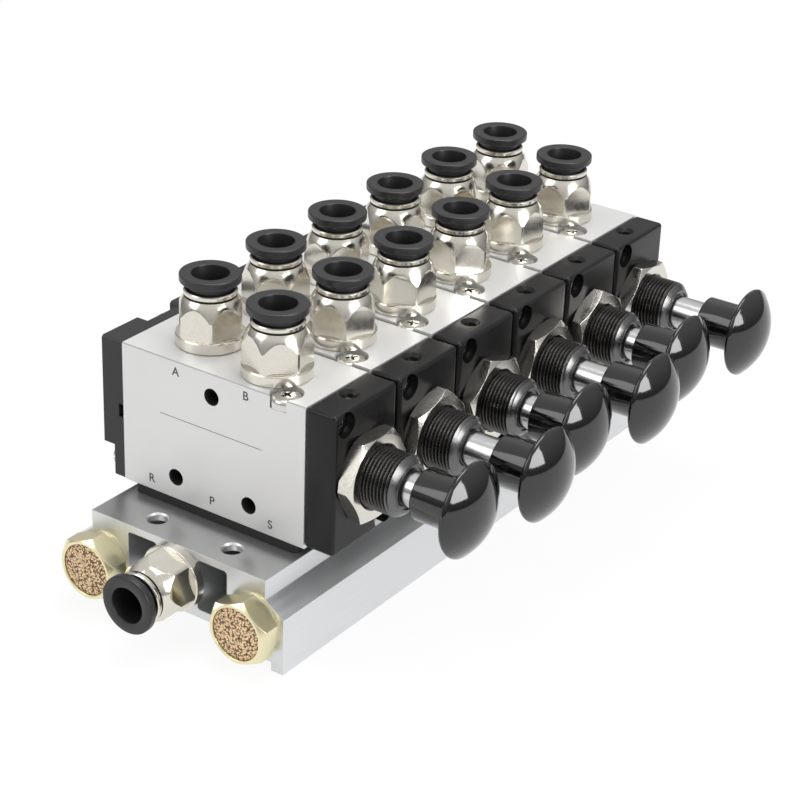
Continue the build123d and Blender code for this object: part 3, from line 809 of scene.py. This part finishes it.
@dataclass
class PushInFittings:
    """Nickel plated push-in fittings and their black release rings."""

    radius: float = 7.85
    flange: float = 2.7
    hex_top: float = 8.0
    cone_top: float = 11.4
    neck: float = 5.5
    rim: float = 5.95
    rim_low: float = 11.85
    rim_top: float = 12.95
    shank: float = 4.75
    shank_length: float = 8.0
    throat: float = 3.0
    tube_stop: float = 0.5
    tube_seat: float = 4.1
    chamber: float = 5.65
    chamber_low: float = 2.5
    chamber_top: float = 6.0
    mouth: float = 5.08
    height: float = 16.5
    ring: float = 6.85
    ring_low: float = 6.3
    ring_skirt: float = 4.97
    ring_neck: float = 5.4
    ring_shoulder: float = 14.15
    bore: float = 4.15
    turns_a: tuple[float, ...] = (-20.0, 4.0, 22.0, -12.0, -25.0, 11.0)
    turns_b: tuple[float, ...] = (13.0, -18.0, 0.0, 26.0, -8.0, -22.0)
    port_x: float = 10.5
    port_y: float = 1.6
    inlet_z: float = 14.2
    inlet_turn: float = 14.0
    steps: int = 72

    def body(self) -> bpy.types.Object:
        """Turn and mill one fitting body.

        Returns:
            The body about Z, with its seat at height 0.
        """
        outline = [
            (self.throat, -self.shank_length),
            (self.shank - 0.5, -self.shank_length),
            (self.shank, -self.shank_length + 0.5),
            (self.shank, 0.0),
            (self.radius - 0.3, 0.0),
            (self.radius, 0.3),
            (self.radius, self.flange - 0.3),
            (self.radius - 0.25, self.flange),
            (self.radius - 0.12, self.flange + 0.3),
            (self.radius - 0.12, self.hex_top - 0.6),
            (self.radius - 0.45, self.hex_top + 0.2),
            (self.rim + 0.75, self.cone_top - 1.2),
            (self.rim + 0.15, self.cone_top - 0.35),
            (self.rim - 0.1, self.cone_top),
            (self.neck, self.cone_top + 0.08),
            (self.neck, self.rim_low - 0.06),
            (self.rim - 0.12, self.rim_low),
            (self.rim, self.rim_low + 0.15),
            (self.rim, self.rim_top - 0.25),
            (self.rim - 0.25, self.rim_top),
            (self.mouth + 0.17, self.rim_top),
            (self.mouth, self.rim_top - 0.2),
            (self.mouth, self.chamber_top),
            (self.chamber, self.chamber_top),
            (self.chamber, self.chamber_low),
            (self.tube_seat, self.chamber_low),
            (self.tube_seat, self.tube_stop),
            (self.throat, self.tube_stop),
            (self.throat, -self.shank_length),
        ]
        piece = turned("fitting_pattern", outline, self.steps)
        flats(piece, self.radius + 0.02, self.flange, self.cone_top + 0.04, self.radius + 3.0)
        return shade(piece)

    def release_ring(self) -> bpy.types.Object:
        """Turn one release ring.

        Returns:
            The ring about Z, above its fitting's seat.
        """
        top = self.height
        outline = [
            (self.bore, self.ring_low),
            (self.ring_skirt, self.ring_low),
            (self.ring_skirt, self.ring_shoulder),
            (self.ring_neck, self.ring_shoulder),
            *arc((self.ring - 0.3, top - 1.5), 0.3, -50, 0, 4),
            *arc((self.ring - 0.32, top - 0.32), 0.32, 0, 85, 5),
            (self.bore + 0.3, top - 0.01),
            (self.bore + 0.1, top - 0.1),
            (self.bore, top - 0.35),
            (self.bore, self.ring_low),
        ]
        piece = turned("ring_pattern", outline, self.steps)
        return shade(piece, 40.0)

    def make(self, finishes: Finishes) -> None:
        """Set every fitting and ring on its port.

        Args:
            finishes: The built finishes.
        """

        def in_groove(face: bpy.types.MeshPolygon) -> bool:
            """Say whether a face gets painted shade, in the rim's groove or in the mouth."""
            reach = math.hypot(face.center.x, face.center.y)
            return reach < self.rim - 0.15 and face.center.z > self.hex_top

        # Painted shade: the groove under the rim and the mouth take the near black.
        body = coat(self.body(), finishes.of_slot["nickel_brass"], finishes.groove)
        paint(body, 1, in_groove)
        ring = coat(self.release_ring(), finishes.of_slot["ring_plastic"])
        bodies = []
        for k, y in enumerate(VALVE_YS):
            for letter, x, dy, turns in (
                ("a", -self.port_x, self.port_y, self.turns_a),
                ("b", self.port_x, -self.port_y, self.turns_b),
            ):
                name = f"{letter}{k + 1}"
                place = seat(x, y + dy, BODY_TOP, Facing.UP, turns[k])
                bodies.append(copy_at(body, f"fitting_{name}", place))
                fit(
                    copy_at(ring, f"push_ring_{name}", place),
                    f"ring_{name}", "ring_plastic", f"release_ring_{name}",
                )
        fit(gathered("push_in_fittings", bodies), "manifold", "nickel_brass", "port_fittings")
        place = seat(0.0, FRONT_END, self.inlet_z, Facing.SUPPLY, self.inlet_turn)
        fit(copy_at(body, "supply_fitting", place), "manifold", "nickel_brass", "inlet_fitting")
        fit(copy_at(ring, "push_ring_inlet", place), "ring_inlet", "ring_plastic", "release_ring_inlet")
        for pattern in (body, ring):
            bpy.data.objects.remove(pattern)


@dataclass
class PullBlocks:
    """Black end blocks with their threaded collars."""

    thickness: float = 7.8
    width: float = 22.0
    low: float = 24.7
    corner: float = 0.9
    crest: float = 6.98
    root: float = 6.38
    pitch: float = 0.9
    flank: float = 0.40
    crest_width: float = 0.14
    collar: float = 11.9
    collar_edge: float = 1.5
    bore: float = 4.08
    pocket: float = 4.3
    pocket_depth: float = 2.6
    recess: float = 2.9
    recess_depth: float = 5.0
    hole: float = 1.7
    detent_x: float = 3.15
    detent_low: float = 4.0
    detent: float = 1.5
    detent_mouth: float = 2.3
    collar_turn: float = 50.0
    steps: int = 56

    def thread(self) -> bpy.types.Object:
        """Wind the collar's thread, and trim it to its length, bore and edge.

        Returns:
            The threaded tube about Z, with the block's face at height 0.
        """
        p = self.pitch
        run_in = 2.0
        tooth = [
            (self.root, 0.0),
            (self.crest, self.flank * p),
            (self.crest, (self.flank + self.crest_width) * p),
            (self.root, (2 * self.flank + self.crest_width) * p),
            (self.root, p),
        ]
        turns = math.ceil((self.collar + 2 * run_in) / p)
        piece = drawn("thread_pattern", [(r, z - run_in) for r, z in tooth])
        bpy.ops.object.mode_set(mode="OBJECT")
        apply(
            piece, "SCREW", angle=math.tau, screw_offset=p, iterations=turns,
            steps=self.steps, render_steps=self.steps, axis="Z",
        )
        tidy(piece)
        for height, up in ((-0.9, False), (self.collar + 0.6, True)):
            only(piece)
            bpy.ops.object.mode_set(mode="EDIT")
            bpy.ops.mesh.select_all(action="SELECT")
            bpy.ops.mesh.bisect(
                plane_co=(0, 0, height), plane_no=(0, 0, 1), use_fill=True,
                clear_outer=up, clear_inner=not up, threshold=0.00001,
            )
            bpy.ops.object.mode_set(mode="OBJECT")
        tidy(piece)
        edge = self.collar_edge
        clear = self.crest + 0.42
        blank = turned(
            "collar_blank",
            [
                (self.bore, -0.5),
                (clear, -0.5),
                (clear, self.collar - edge - 0.4),
                (self.crest - edge + 0.1, self.collar - 0.12),
                (self.crest - edge - 0.1, self.collar - 0.02),
                (self.bore + 0.75, self.collar - 0.02),
                (self.bore + 0.7, self.collar - 0.4),
                (self.bore + 0.35, self.collar - 0.4),
                (self.bore, self.collar - 0.6),
                (self.bore, -0.5),
            ],
            self.steps,
        )
        return work(piece, blank, Cut.KEEP)

    def block(self) -> bpy.types.Object:
        """Cut one end block, with its face towards the knob at height 0 and its width along X.

        Returns:
            The block about the spool's axis.
        """
        high = BODY_TOP - SPOOL_Z
        low = self.low - SPOOL_Z
        only_none()
        bpy.ops.mesh.primitive_cube_add(size=1.0, location=(0, 0, 0))
        piece = bpy.context.object
        piece.name = "block_pattern"
        piece.scale = (high - low, self.width, self.thickness)
        piece.location = (-(high + low) / 2, 0, -self.thickness / 2)
        bpy.ops.object.transform_apply(location=True, rotation=True, scale=True)
        unpicked(piece)
        for edge in piece.data.edges:
            a, b = (piece.data.vertices[k].co for k in edge.vertices)
            edge.select = abs(a.z - b.z) > self.thickness / 2
        bpy.ops.object.mode_set(mode="EDIT")
        bpy.ops.mesh.select_mode(type="EDGE")
        bpy.ops.mesh.bevel(offset=self.corner, segments=5, affect="EDGES")
        bpy.ops.object.mode_set(mode="OBJECT")
        back = -self.thickness
        work(piece, rod("bore_tool", self.bore, back - 1, 1), Cut.TAKE)
        work(piece, rod("pocket_tool", self.pocket, back - 1, back + self.pocket_depth), Cut.TAKE)
        for side in (-1, 1):
            place = Matrix.Translation((side * CAP_SCREW_Z, side * CAP_SCREW_Y, 0))
            for radius, depth in ((self.recess, self.recess_depth), (self.hole, self.thickness + 1)):
                tool = rod("screw_tool", radius, -depth, 1, 40)
                tool.data.transform(place)
                work(piece, tool, Cut.TAKE)
        outline = [
            (0.0, self.detent_low),
            (self.detent, self.detent_low),
            (self.detent, high - self.detent_mouth + self.detent),
            (self.detent_mouth, high),
            (self.detent_mouth, high + 1),
            (0.0, high + 1),
        ]
        tool = turned("detent_tool", outline, 40)
        upright = Matrix.Rotation(math.radians(-90), 4, "Y")
        tool.data.transform(Matrix.Translation((0, 0, back + self.detent_x)) @ upright)
        work(piece, tool, Cut.TAKE)
        return shade(piece)

    def make(self, finishes: Finishes) -> None:
        """Set a block with its collar on every valve.

        Args:
            finishes: The built finishes.
        """

        def on_nose(face: bpy.types.MeshPolygon) -> bool:
            """Say whether a face is on the turned end of the collar."""
            return face.normal.z > 0.5 and face.center.z > self.collar - self.collar_edge - 0.3

        collar = coat(self.thread(), finishes.collar, finishes.faced)
        shade(collar, 25.0)
        paint(collar, 1, on_nose)
        block = coat(self.block(), finishes.of_slot["black_block"])
        for k, y in enumerate(VALVE_YS):
            place = seat(BLOCK_FACE, y, SPOOL_Z, Facing.KNOBS)
            spun = seat(BLOCK_FACE, y, SPOOL_Z, Facing.KNOBS, self.collar_turn * k)
            pair = [
                copy_at(block, f"block_{k + 1}", place),
                copy_at(collar, f"collar_{k + 1}", spun),
            ]
            whole = gathered(f"collared_block_{k + 1}", pair)
            fit(whole, "manifold", "black_block", f"pull_block_{k + 1}")
        for pattern in (collar, block):
            bpy.data.objects.remove(pattern)


@dataclass
class PanelNuts:
    """Thin chamfered hexagon nuts on the collars."""

    across_flats: float = 19.0
    thickness: float = 3.9
    bore: float = 7.1
    chamfer_angle: float = 30.0
    turns: tuple[float, ...] = (0.0, 17.0, 44.0, 8.0, 29.0, 51.0)

    def nut(self) -> bpy.types.Object:
        """Turn and mill one nut, with a corner along Y once it is on its collar.

        Returns:
            The nut about Z, with its back at height 0.
        """
        corner = self.across_flats / math.sqrt(3.0)
        flat = self.across_flats / 2
        rise = (corner - flat) * math.tan(math.radians(self.chamfer_angle))
        t = self.thickness
        piece = turned(
            "nut_pattern",
            [
                (self.bore, 0.35),
                (self.bore + 0.35, 0.0),
                (flat, 0.0),
                (corner - 0.12, rise - 0.05),
                (corner - 0.06, rise + 0.1),
                (corner - 0.06, t - rise - 0.1),
                (corner - 0.12, t - rise + 0.05),
                (flat, t),
                (self.bore + 0.45, t),
                (self.bore, t - 0.35),
                (self.bore, 0.35),
            ],
            72,
        )
        flats(piece, corner, -0.5, t + 0.5, corner + 3.0)
        return shade(piece)

    def make(self, finishes: Finishes) -> None:
        """Set a nut on every collar.

        Args:
            finishes: The built finishes.
        """
        nut = coat(self.nut(), finishes.of_slot["nickel_nut"])
        pieces = [
            copy_at(nut, f"nut_{k + 1}", seat(BLOCK_FACE, y, SPOOL_Z, Facing.KNOBS, self.turns[k]))
            for k, y in enumerate(VALVE_YS)
        ]
        fit(gathered("collar_nuts", pieces), "manifold", "nickel_nut", "panel_nuts")
        bpy.data.objects.remove(nut)


@dataclass
class Knobs:
    """Gloss black pull knobs on their polished rods and spools."""

    start: float = 48.25
    length: float = 16.0
    neck: float = 5.9
    dome: float = 10.75
    dome_height: float = 4.6
    rim: float = 0.9
    flare: float = 1.6
    socket: float = 3.05
    socket_depth: float = 9.0
    rod: float = 4.0
    land: float = 4.22
    waist: float = 2.6
    spool_start: float = -27.5
    lands: tuple[tuple[float, float], ...] = (
        (-27.5, -20.4), (-18.5, -15.7), (-5.3, 1.0), (11.4, 14.1), (15.6, 23.0),
    )
    grooves: tuple[float, float] = (23.8, 23.8 + TRAVEL)
    groove_depth: float = 0.35

    def knob(self) -> bpy.types.Object:
        """Turn one knob.

        Returns:
            The knob about Z, with the end of its neck at height 0.
        """
        front = self.length - self.dome_height
        back = front - self.rim
        sweep = (self.dome_height**2 + self.dome**2) / (2 * self.dome_height)
        low = math.degrees(math.asin((sweep - self.dome_height) / sweep))
        cap = arc((0.0, self.length - sweep), sweep, low + 3.0, 90.0, 14)
        outline = [
            (0.0, self.socket_depth),
            (self.socket, self.socket_depth),
            (self.socket, 0.0),
            *arc((self.neck - 0.4, 0.4), 0.4, -90, 0, 3),
            *arc((self.neck + self.flare, back - self.flare), self.flare, 180, 90, 6),
            (self.dome - 1.4, back + 0.02),
            *arc((self.dome - 0.75, back + 0.75), 0.75, -90, 20, 6),
            *cap[:-1],
            (0.0, self.length),
        ]
        piece = turned("knob_pattern", outline, 96)
        return shade(piece, 40.0)

    def spool(self) -> bpy.types.Object:
        """Turn one spool with its rod.

        Returns:
            The spool about Z, at its own heights along the valve when it is pushed in.
        """
        outline = [(0.0, self.spool_start)]
        for low, high in self.lands:
            if low > self.spool_start:
                outline.append((self.waist, low))
            outline += [(self.land - 0.2, low), (self.land, low + 0.2), (self.land, high - 0.2)]
            outline.append((self.land - 0.2, high))
            if high < self.lands[-1][1]:
                outline.append((self.waist, high))
        outline.append((self.rod, self.lands[-1][1]))
        floor = self.rod - self.groove_depth
        for x in self.grooves:
            outline += [(self.rod, x - 0.7), (floor, x - 0.3), (floor, x + 0.3), (self.rod, x + 0.7)]
        tip = self.start + self.socket_depth - 0.1
        stud = self.socket - 0.05
        outline += [(self.rod, self.start), (stud, self.start), (stud, tip), (0.0, tip)]
        piece = turned("spool_pattern", outline, 72)
        return shade(piece, 30.0)

    def make(self, finishes: Finishes) -> None:
        """Set a knob and a spool in every valve, pushed in or pulled out.

        Args:
            finishes: The built finishes.
        """
        knob = coat(self.knob(), finishes.of_slot["knob_plastic"])
        spool = coat(self.spool(), finishes.of_slot["polished_rod"])
        for k, y in enumerate(VALVE_YS):
            shift = TRAVEL if PULLED[k] else 0.0
            body = f"knob_{k + 1}"
            place = seat(self.start + shift, y, SPOOL_Z, Facing.KNOBS)
            head = copy_at(knob, f"mushroom_knob_{k + 1}", place)
            fit(head, body, "knob_plastic", f"pull_knob_{k + 1}")
            place = seat(shift, y, SPOOL_Z, Facing.KNOBS)
            stem = copy_at(spool, f"spool_rod_{k + 1}", place)
            fit(stem, body, "polished_rod", f"spool_{k + 1}")
        for pattern in (knob, spool):
            bpy.data.objects.remove(pattern)


@dataclass
class Screws:
    """Cross recessed screws on the valves' tops and socket cap screws in the blocks."""

    pan_radius: float = 3.5
    pan_height: float = 2.6
    pan_seat: float = 55.15
    pan_shank: float = 1.9
    pan_reach: float = 39.85
    cross_length: float = 4.1
    cross_width: float = 0.95
    cross_depth: float = 1.4
    cross_taper: Place = (0.35, 0.6, 1.0)
    top_x: float = 17.95
    top_y: float = 7.94
    cap_radius: float = 2.75
    cap_height: float = 3.0
    cap_shank: float = 1.5
    cap_reach: float = 5.8
    cap_seat: float = 27.95
    socket: float = 1.45
    socket_depth: float = 1.5
    turns: tuple[float, ...] = (20.0, 65.0, 8.0, 38.0, 80.0, 50.0)

    def pan_screw(self) -> bpy.types.Object:
        """Turn a pan head screw and cut its cross.

        Returns:
            The screw about Z, with the underside of its head at height 0.
        """
        r, h = self.pan_radius, self.pan_height
        outline = [
            (0.0, -self.pan_reach),
            (self.pan_shank - 0.4, -self.pan_reach),
            (self.pan_shank, -self.pan_reach + 0.5),
            (self.pan_shank, 0.0),
            (r - 0.15, 0.0),
            (r, 0.15),
            (r, h * 0.42),
            *arc((r - 1.15, h - 1.3), 1.15, 12, 78, 6),
            (r * 0.4, h - 0.02),
            (0.0, h),
        ]
        piece = turned("pan_screw_pattern", outline, 48)
        for turn in (0.0, 90.0):
            only_none()
            bpy.ops.mesh.primitive_cube_add(size=1.0, location=(0, 0, h))
            blade = bpy.context.object
            blade.scale = (self.cross_length, self.cross_width, 2 * self.cross_depth)
            bpy.ops.object.transform_apply(location=False, rotation=False, scale=True)
            unpicked(blade)
            for vertex in blade.data.vertices:
                vertex.select = vertex.co.z < 0
            bpy.ops.object.mode_set(mode="EDIT")
            bpy.ops.transform.resize(value=self.cross_taper, center_override=(0, 0, 0))
            bpy.ops.object.mode_set(mode="OBJECT")
            blade.rotation_euler.z = math.radians(turn)
            bpy.ops.object.transform_apply(location=True, rotation=True, scale=False)
            work(piece, blade, Cut.TAKE)
        return shade(piece, 30.0)

    def cap_screw(self) -> bpy.types.Object:
        """Turn a cap screw and cut its hexagon socket.

        Returns:
            The screw about Z, with the underside of its head at height 0.
        """
        r, h = self.cap_radius, self.cap_height
        outline = [
            (0.0, -self.cap_reach),
            (self.cap_shank - 0.3, -self.cap_reach),
            (self.cap_shank, -self.cap_reach + 0.3),
            (self.cap_shank, 0.0),
            (r - 0.1, 0.0),
            (r, 0.1),
            (r, h - 0.35),
            (r - 0.12, h - 0.1),
            (r - 0.4, h),
            (0.0, h),
        ]
        piece = turned("cap_screw_pattern", outline, 48)
        work(piece, rod("socket_tool", self.socket, h - self.socket_depth, h + 1, 6), Cut.TAKE)
        return shade(piece)

    def make(self, finishes: Finishes) -> None:
        """Set every screw in its hole.

        Args:
            finishes: The built finishes.
        """

        def in_cross(face: bpy.types.MeshPolygon) -> bool:
            """Say whether a face lies in the head's cross."""
            inner = math.hypot(face.center.x, face.center.y) < self.cross_length / 2 + 0.05
            return inner and 0.3 < face.center.z < self.pan_height - 0.3

        # Painted shade: the faces in the head's cross take the near black.
        pan = coat(self.pan_screw(), finishes.of_slot["bright_screw"], finishes.groove)
        paint(pan, 1, in_cross)
        cap = coat(self.cap_screw(), finishes.of_slot["dark_screw"])
        pans = []
        caps = []
        for k, y in enumerate(VALVE_YS):
            for side in (-1, 1):
                turn = self.turns[(k + 2 * side) % len(self.turns)]
                x = -side * self.top_x
                place = seat(x, y + side * self.top_y, self.pan_seat, Facing.UP, turn)
                pans.append(copy_at(pan, f"pan_screw_{k}_{side}", place))
                z = SPOOL_Z - side * CAP_SCREW_Z
                place = seat(self.cap_seat, y + side * CAP_SCREW_Y, z, Facing.KNOBS, turn)
                caps.append(copy_at(cap, f"cap_screw_{k}_{side}", place))
        fit(gathered("top_screws", pans), "manifold", "bright_screw", "mount_screws")
        fit(gathered("recessed_screws", caps), "manifold", "dark_screw", "block_screws")
        for pattern in (pan, cap):
            bpy.data.objects.remove(pattern)


@dataclass
class Silencers:
    """Brass exhaust silencers with sintered faces."""

    across_flats: float = 14.0
    length: float = 6.3
    flange: float = 6.9
    shank: float = 4.75
    shank_length: float = 7.0
    bore: float = 3.2
    recess: float = 6.2
    recess_depth: float = 2.0
    places: tuple[Point, Point] = ((-21.2, 10.2), (21.2, 10.2))
    turn: float = -10.0

    def body(self) -> bpy.types.Object:
        """Turn and mill one silencer body.

        Returns:
            The body about Z, with its seat at height 0.
        """
        corner = self.across_flats / math.sqrt(3.0)
        n = self.length
        outline = [
            (self.bore, -self.shank_length),
            (self.shank - 0.4, -self.shank_length),
            (self.shank, -self.shank_length + 0.4),
            (self.shank, 0.0),
            (self.flange, 0.0),
            (self.flange, 0.8),
            (corner - 0.1, 1.3),
            (corner + 0.1, 1.6),
            (corner + 0.1, n - 1.35),
            (corner - 0.02, n - 1.15),
            (self.across_flats / 2, n - 0.16),
            (self.across_flats / 2 - 0.15, n),
            (self.recess + 0.12, n),
            (self.recess, n - 0.15),
            (self.recess, n - self.recess_depth),
            (self.bore, n - self.recess_depth),
            (self.bore, -self.shank_length),
        ]
        piece = turned("silencer_pattern", outline, 72)
        flats(piece, corner, 0.85, n + 0.5, corner + 3.0)
        return shade(piece)

    def element(self) -> bpy.types.Object:
        """Turn one sintered element, a little domed.

        Returns:
            The element about Z.
        """
        n = self.length
        r = self.recess - 0.05
        outline = [
            (0.0, n - self.recess_depth + 0.02),
            (r, n - self.recess_depth + 0.02),
            (r, n - 0.45),
            (r - 0.25, n - 0.3),
            (r * 0.75, n - 0.15),
            (r * 0.4, n - 0.04),
            (0.0, n),
        ]
        piece = turned("element_pattern", outline, 64)
        return shade(piece, 50.0)

    def make(self, finishes: Finishes) -> None:
        """Set both silencers on the front end of the base.

        Args:
            finishes: The built finishes.
        """
        body = coat(self.body(), finishes.of_slot["silencer_brass"])
        element = coat(self.element(), finishes.of_slot["sintered_bronze"])
        seats = [seat(x, FRONT_END, z, Facing.SUPPLY, self.turn) for x, z in self.places]
        bodies = [copy_at(body, f"silencer_{k}", place) for k, place in enumerate(seats)]
        faces = [copy_at(element, f"element_{k}", place) for k, place in enumerate(seats)]
        fit(gathered("brass_silencers", bodies), "manifold", "silencer_brass", "silencer_bodies")
        fit(gathered("sintered_faces", faces), "manifold", "sintered_bronze", "silencer_elements")
        for pattern in (body, element):
            bpy.data.objects.remove(pattern)


@dataclass
class PortMarks:
    """Plain port letters and one thin rule, printed on the front valve's face."""

    face_y: float = VALVE_YS[0] - BODY_HALF
    thickness: float = 0.012
    height: float = 2.9
    weight: float = 0.04
    letters: tuple[tuple[str, float, float], ...] = (
        ("A", -9.95, 54.6), ("B", 9.3, 54.8), ("R", -17.2, 26.1), ("P", 0.0, 26.2), ("S", 16.1, 26.0),
    )
    rule: tuple[float, float, float, float] = (-14.5, 13.7, 44.22, 44.36)

    def make(self, finishes: Finishes) -> None:
        """Print the letters and the rule.

        Args:
            finishes: The built finishes.
        """
        marks = []
        for letter, x, z in self.letters:
            only_none()
            bpy.ops.object.text_add()
            mark = bpy.context.object
            mark.data.body = letter
            mark.data.size = self.height
            mark.data.align_x = "CENTER"
            mark.data.extrude = self.thickness
            mark.data.offset = self.weight
            bpy.ops.object.convert(target="MESH")
            mark = tidy(bpy.context.object)
            place = seat(x, self.face_y, z, Facing.SUPPLY)
            marks.append(copy_at(mark, f"letter_{letter}", place))
            bpy.data.objects.remove(mark)
        low, high, bottom, top = self.rule
        only_none()
        bpy.ops.mesh.primitive_cube_add(size=1.0)
        line = bpy.context.object
        line.scale = (high - low, 2 * self.thickness, top - bottom)
        bpy.ops.object.transform_apply(location=False, rotation=False, scale=True)
        place = Matrix.Translation(((low + high) / 2, self.face_y, (bottom + top) / 2))
        marks.append(copy_at(line, "printed_rule", place))
        bpy.data.objects.remove(line)
        piece = coat(gathered("port_marks", marks), finishes.print)
        fit(piece, "manifold", "black_cover")


@dataclass(frozen=True)
class Lamp:
    """One soft square lamp: its name, its place and side in metres, and its power in watts."""

    name: str
    place: Place
    side: float
    power: float


@dataclass
class Studio:
    """Pale floor, white surroundings, soft lamps and the photograph's camera.

    The eye is in millimetres, the angles are in degrees, and the focal length and the frame's width
    are in pixels. What the lamps aim at, and the floor, are in metres. Each share of white is given as
    the camera sees it and as shiny surfaces mirror it.
    """

    eye: Place = (276.595, -403.417, 272.036)
    azimuth: float = 34.23
    elevation: float = 26.80
    roll: float = 2.12
    focal: float = 2270.48
    frame_width: float = 800.0
    sensor: float = 36.0
    floor_size: float = 6.0
    floor_gap: float = 0.0002
    floor_colour: Colour = (0.86, 0.86, 0.86)
    floor_white: Point = (0.9, 0.9)
    sky_low: Colour = (0.08, 0.08, 0.085)
    sky_high: Colour = (0.90, 0.90, 0.90)
    sky_level: float = 0.6
    sky_strength: float = 0.8
    sky_white: Point = (1.0, 0.1)
    aim: Place = (0.01, -0.01, 0.035)
    lamps: tuple[Lamp, ...] = (
        Lamp("key_lamp", (-0.42, -0.62, 0.62), 0.50, 1.6),
        Lamp("top_lamp", (0.05, 0.10, 0.95), 0.60, 6.0),
        Lamp("side_lamp", (0.85, -0.10, 0.42), 0.45, 5.0),
    )

    def camera(self) -> None:
        """Place the camera as the photograph has it."""
        az, el = math.radians(self.azimuth), math.radians(self.elevation)
        back = Vector((math.sin(az) * math.cos(el), -math.cos(az) * math.cos(el), math.sin(el)))
        right = (-back).cross(Vector((0, 0, 1))).normalized()
        up = right.cross(-back)
        r = math.radians(self.roll)
        across = math.cos(r) * right + math.sin(r) * up
        above = -math.sin(r) * right + math.cos(r) * up
        only_none()
        bpy.ops.object.camera_add()
        camera = bpy.context.object
        turn = Matrix((across, above, back)).transposed().to_4x4()
        camera.matrix_world = Matrix.Translation(Vector(self.eye) * MM) @ turn
        camera.data.sensor_width = self.sensor
        camera.data.lens = self.focal * self.sensor / self.frame_width
        camera.data.clip_start = 0.01
        camera.data.clip_end = 50.0
        bpy.context.scene.camera = camera

    def white_share(
        self, nodes: bpy.types.Nodes, link: Link, seen: float, mirrored: float
    ) -> bpy.types.NodeSocket:
        """Add the share of plain white that a ray meets.

        Args:
            nodes: The nodes of the material or the world.
            link: Joins two sockets.
            seen: Share for the camera's own rays.
            mirrored: Share for rays from shiny or clear surfaces.

        Returns:
            The socket of the share.
        """
        rays = nodes.new("ShaderNodeLightPath")
        total: bpy.types.NodeSocket | None = None
        for name, share in (
            ("Is Camera Ray", seen), ("Is Glossy Ray", mirrored), ("Is Transmission Ray", mirrored),
        ):
            part = nodes.new("ShaderNodeMath")
            part.operation = "MULTIPLY_ADD"
            part.use_clamp = True
            part.inputs[1].default_value = share
            part.inputs[2].default_value = 0.0
            link(rays.outputs[name], part.inputs[0])
            if total is not None:
                link(total, part.inputs[2])
            total = part.outputs["Value"]
        return total

    def floor(self) -> None:
        """Lay the pale floor, which the camera sees as white."""
        only_none()
        bpy.ops.mesh.primitive_plane_add(size=self.floor_size, location=(0, 0, -self.floor_gap))
        floor = bpy.context.object
        floor.name = "studio_floor"
        material = bpy.data.materials.new("studio_floor")
        material.use_nodes = True
        nodes = material.node_tree.nodes
        link = material.node_tree.links.new
        shader = nodes["Principled BSDF"]
        shader.inputs["Base Color"].default_value = (*self.floor_colour, 1.0)
        shader.inputs["Roughness"].default_value = 0.9
        shader.inputs["Specular IOR Level"].default_value = 0.1
        glow = nodes.new("ShaderNodeEmission")
        glow.inputs["Strength"].default_value = 1.0
        blend = nodes.new("ShaderNodeMixShader")
        link(self.white_share(nodes, link, *self.floor_white), blend.inputs["Fac"])
        link(shader.outputs["BSDF"], blend.inputs[1])
        link(glow.outputs["Emission"], blend.inputs[2])
        link(blend.outputs["Shader"], nodes["Material Output"].inputs["Surface"])
        floor.data.materials.append(material)

    def surroundings(self) -> None:
        """Make the surroundings white to the camera, and a soft grey sweep to everything else."""
        world = bpy.data.worlds.new("studio_world")
        bpy.context.scene.world = world
        world.use_nodes = True
        nodes = world.node_tree.nodes
        link = world.node_tree.links.new
        sky = nodes["Background"]
        place = nodes.new("ShaderNodeTexCoord")
        split = nodes.new("ShaderNodeSeparateXYZ")
        link(place.outputs["Generated"], split.inputs["Vector"])
        sweep = nodes.new("ShaderNodeValToRGB")
        low, high = sweep.color_ramp.elements
        low.position = 0.0
        low.color = (*self.sky_low, 1.0)
        high.position = self.sky_level
        high.color = (*self.sky_high, 1.0)
        link(split.outputs["Z"], sweep.inputs["Fac"])
        link(sweep.outputs["Color"], sky.inputs["Color"])
        sky.inputs["Strength"].default_value = self.sky_strength
        white = nodes.new("ShaderNodeBackground")
        white.inputs["Color"].default_value = (1.0, 1.0, 1.0, 1.0)
        blend = nodes.new("ShaderNodeMixShader")
        link(self.white_share(nodes, link, *self.sky_white), blend.inputs["Fac"])
        link(sky.outputs["Background"], blend.inputs[1])
        link(white.outputs["Background"], blend.inputs[2])
        link(blend.outputs["Shader"], nodes["World Output"].inputs["Surface"])

    def light(self) -> None:
        """Hang the soft lamps, each turned to the middle of the part."""
        for lamp in self.lamps:
            only_none()
            bpy.ops.object.light_add(type="AREA", location=lamp.place)
            hung = bpy.context.object
            hung.name = lamp.name
            hung.data.size = lamp.side
            hung.data.energy = lamp.power
            ray = Vector(self.aim) - Vector(lamp.place)
            hung.rotation_euler = ray.to_track_quat("-Z", "Y").to_euler()

    def make(self) -> None:
        """Set up the whole studio."""
        self.camera()
        self.floor()
        self.surroundings()
        self.light()
        bpy.context.scene.view_settings.view_transform = "Standard"


def main() -> None:
    """Dress the part and set up its studio."""
    logging.basicConfig(level=logging.INFO, format="%(name)s %(message)s")
    finishes = Finishes()
    finishes.dress_nodes()
    for kind in (PushInFittings, PullBlocks, PanelNuts, Knobs, Screws, Silencers, PortMarks):
        log.info("making %s", kind.__name__)
        kind().make(finishes)
    Studio().make()


if __name__ == "__main__":
    main()
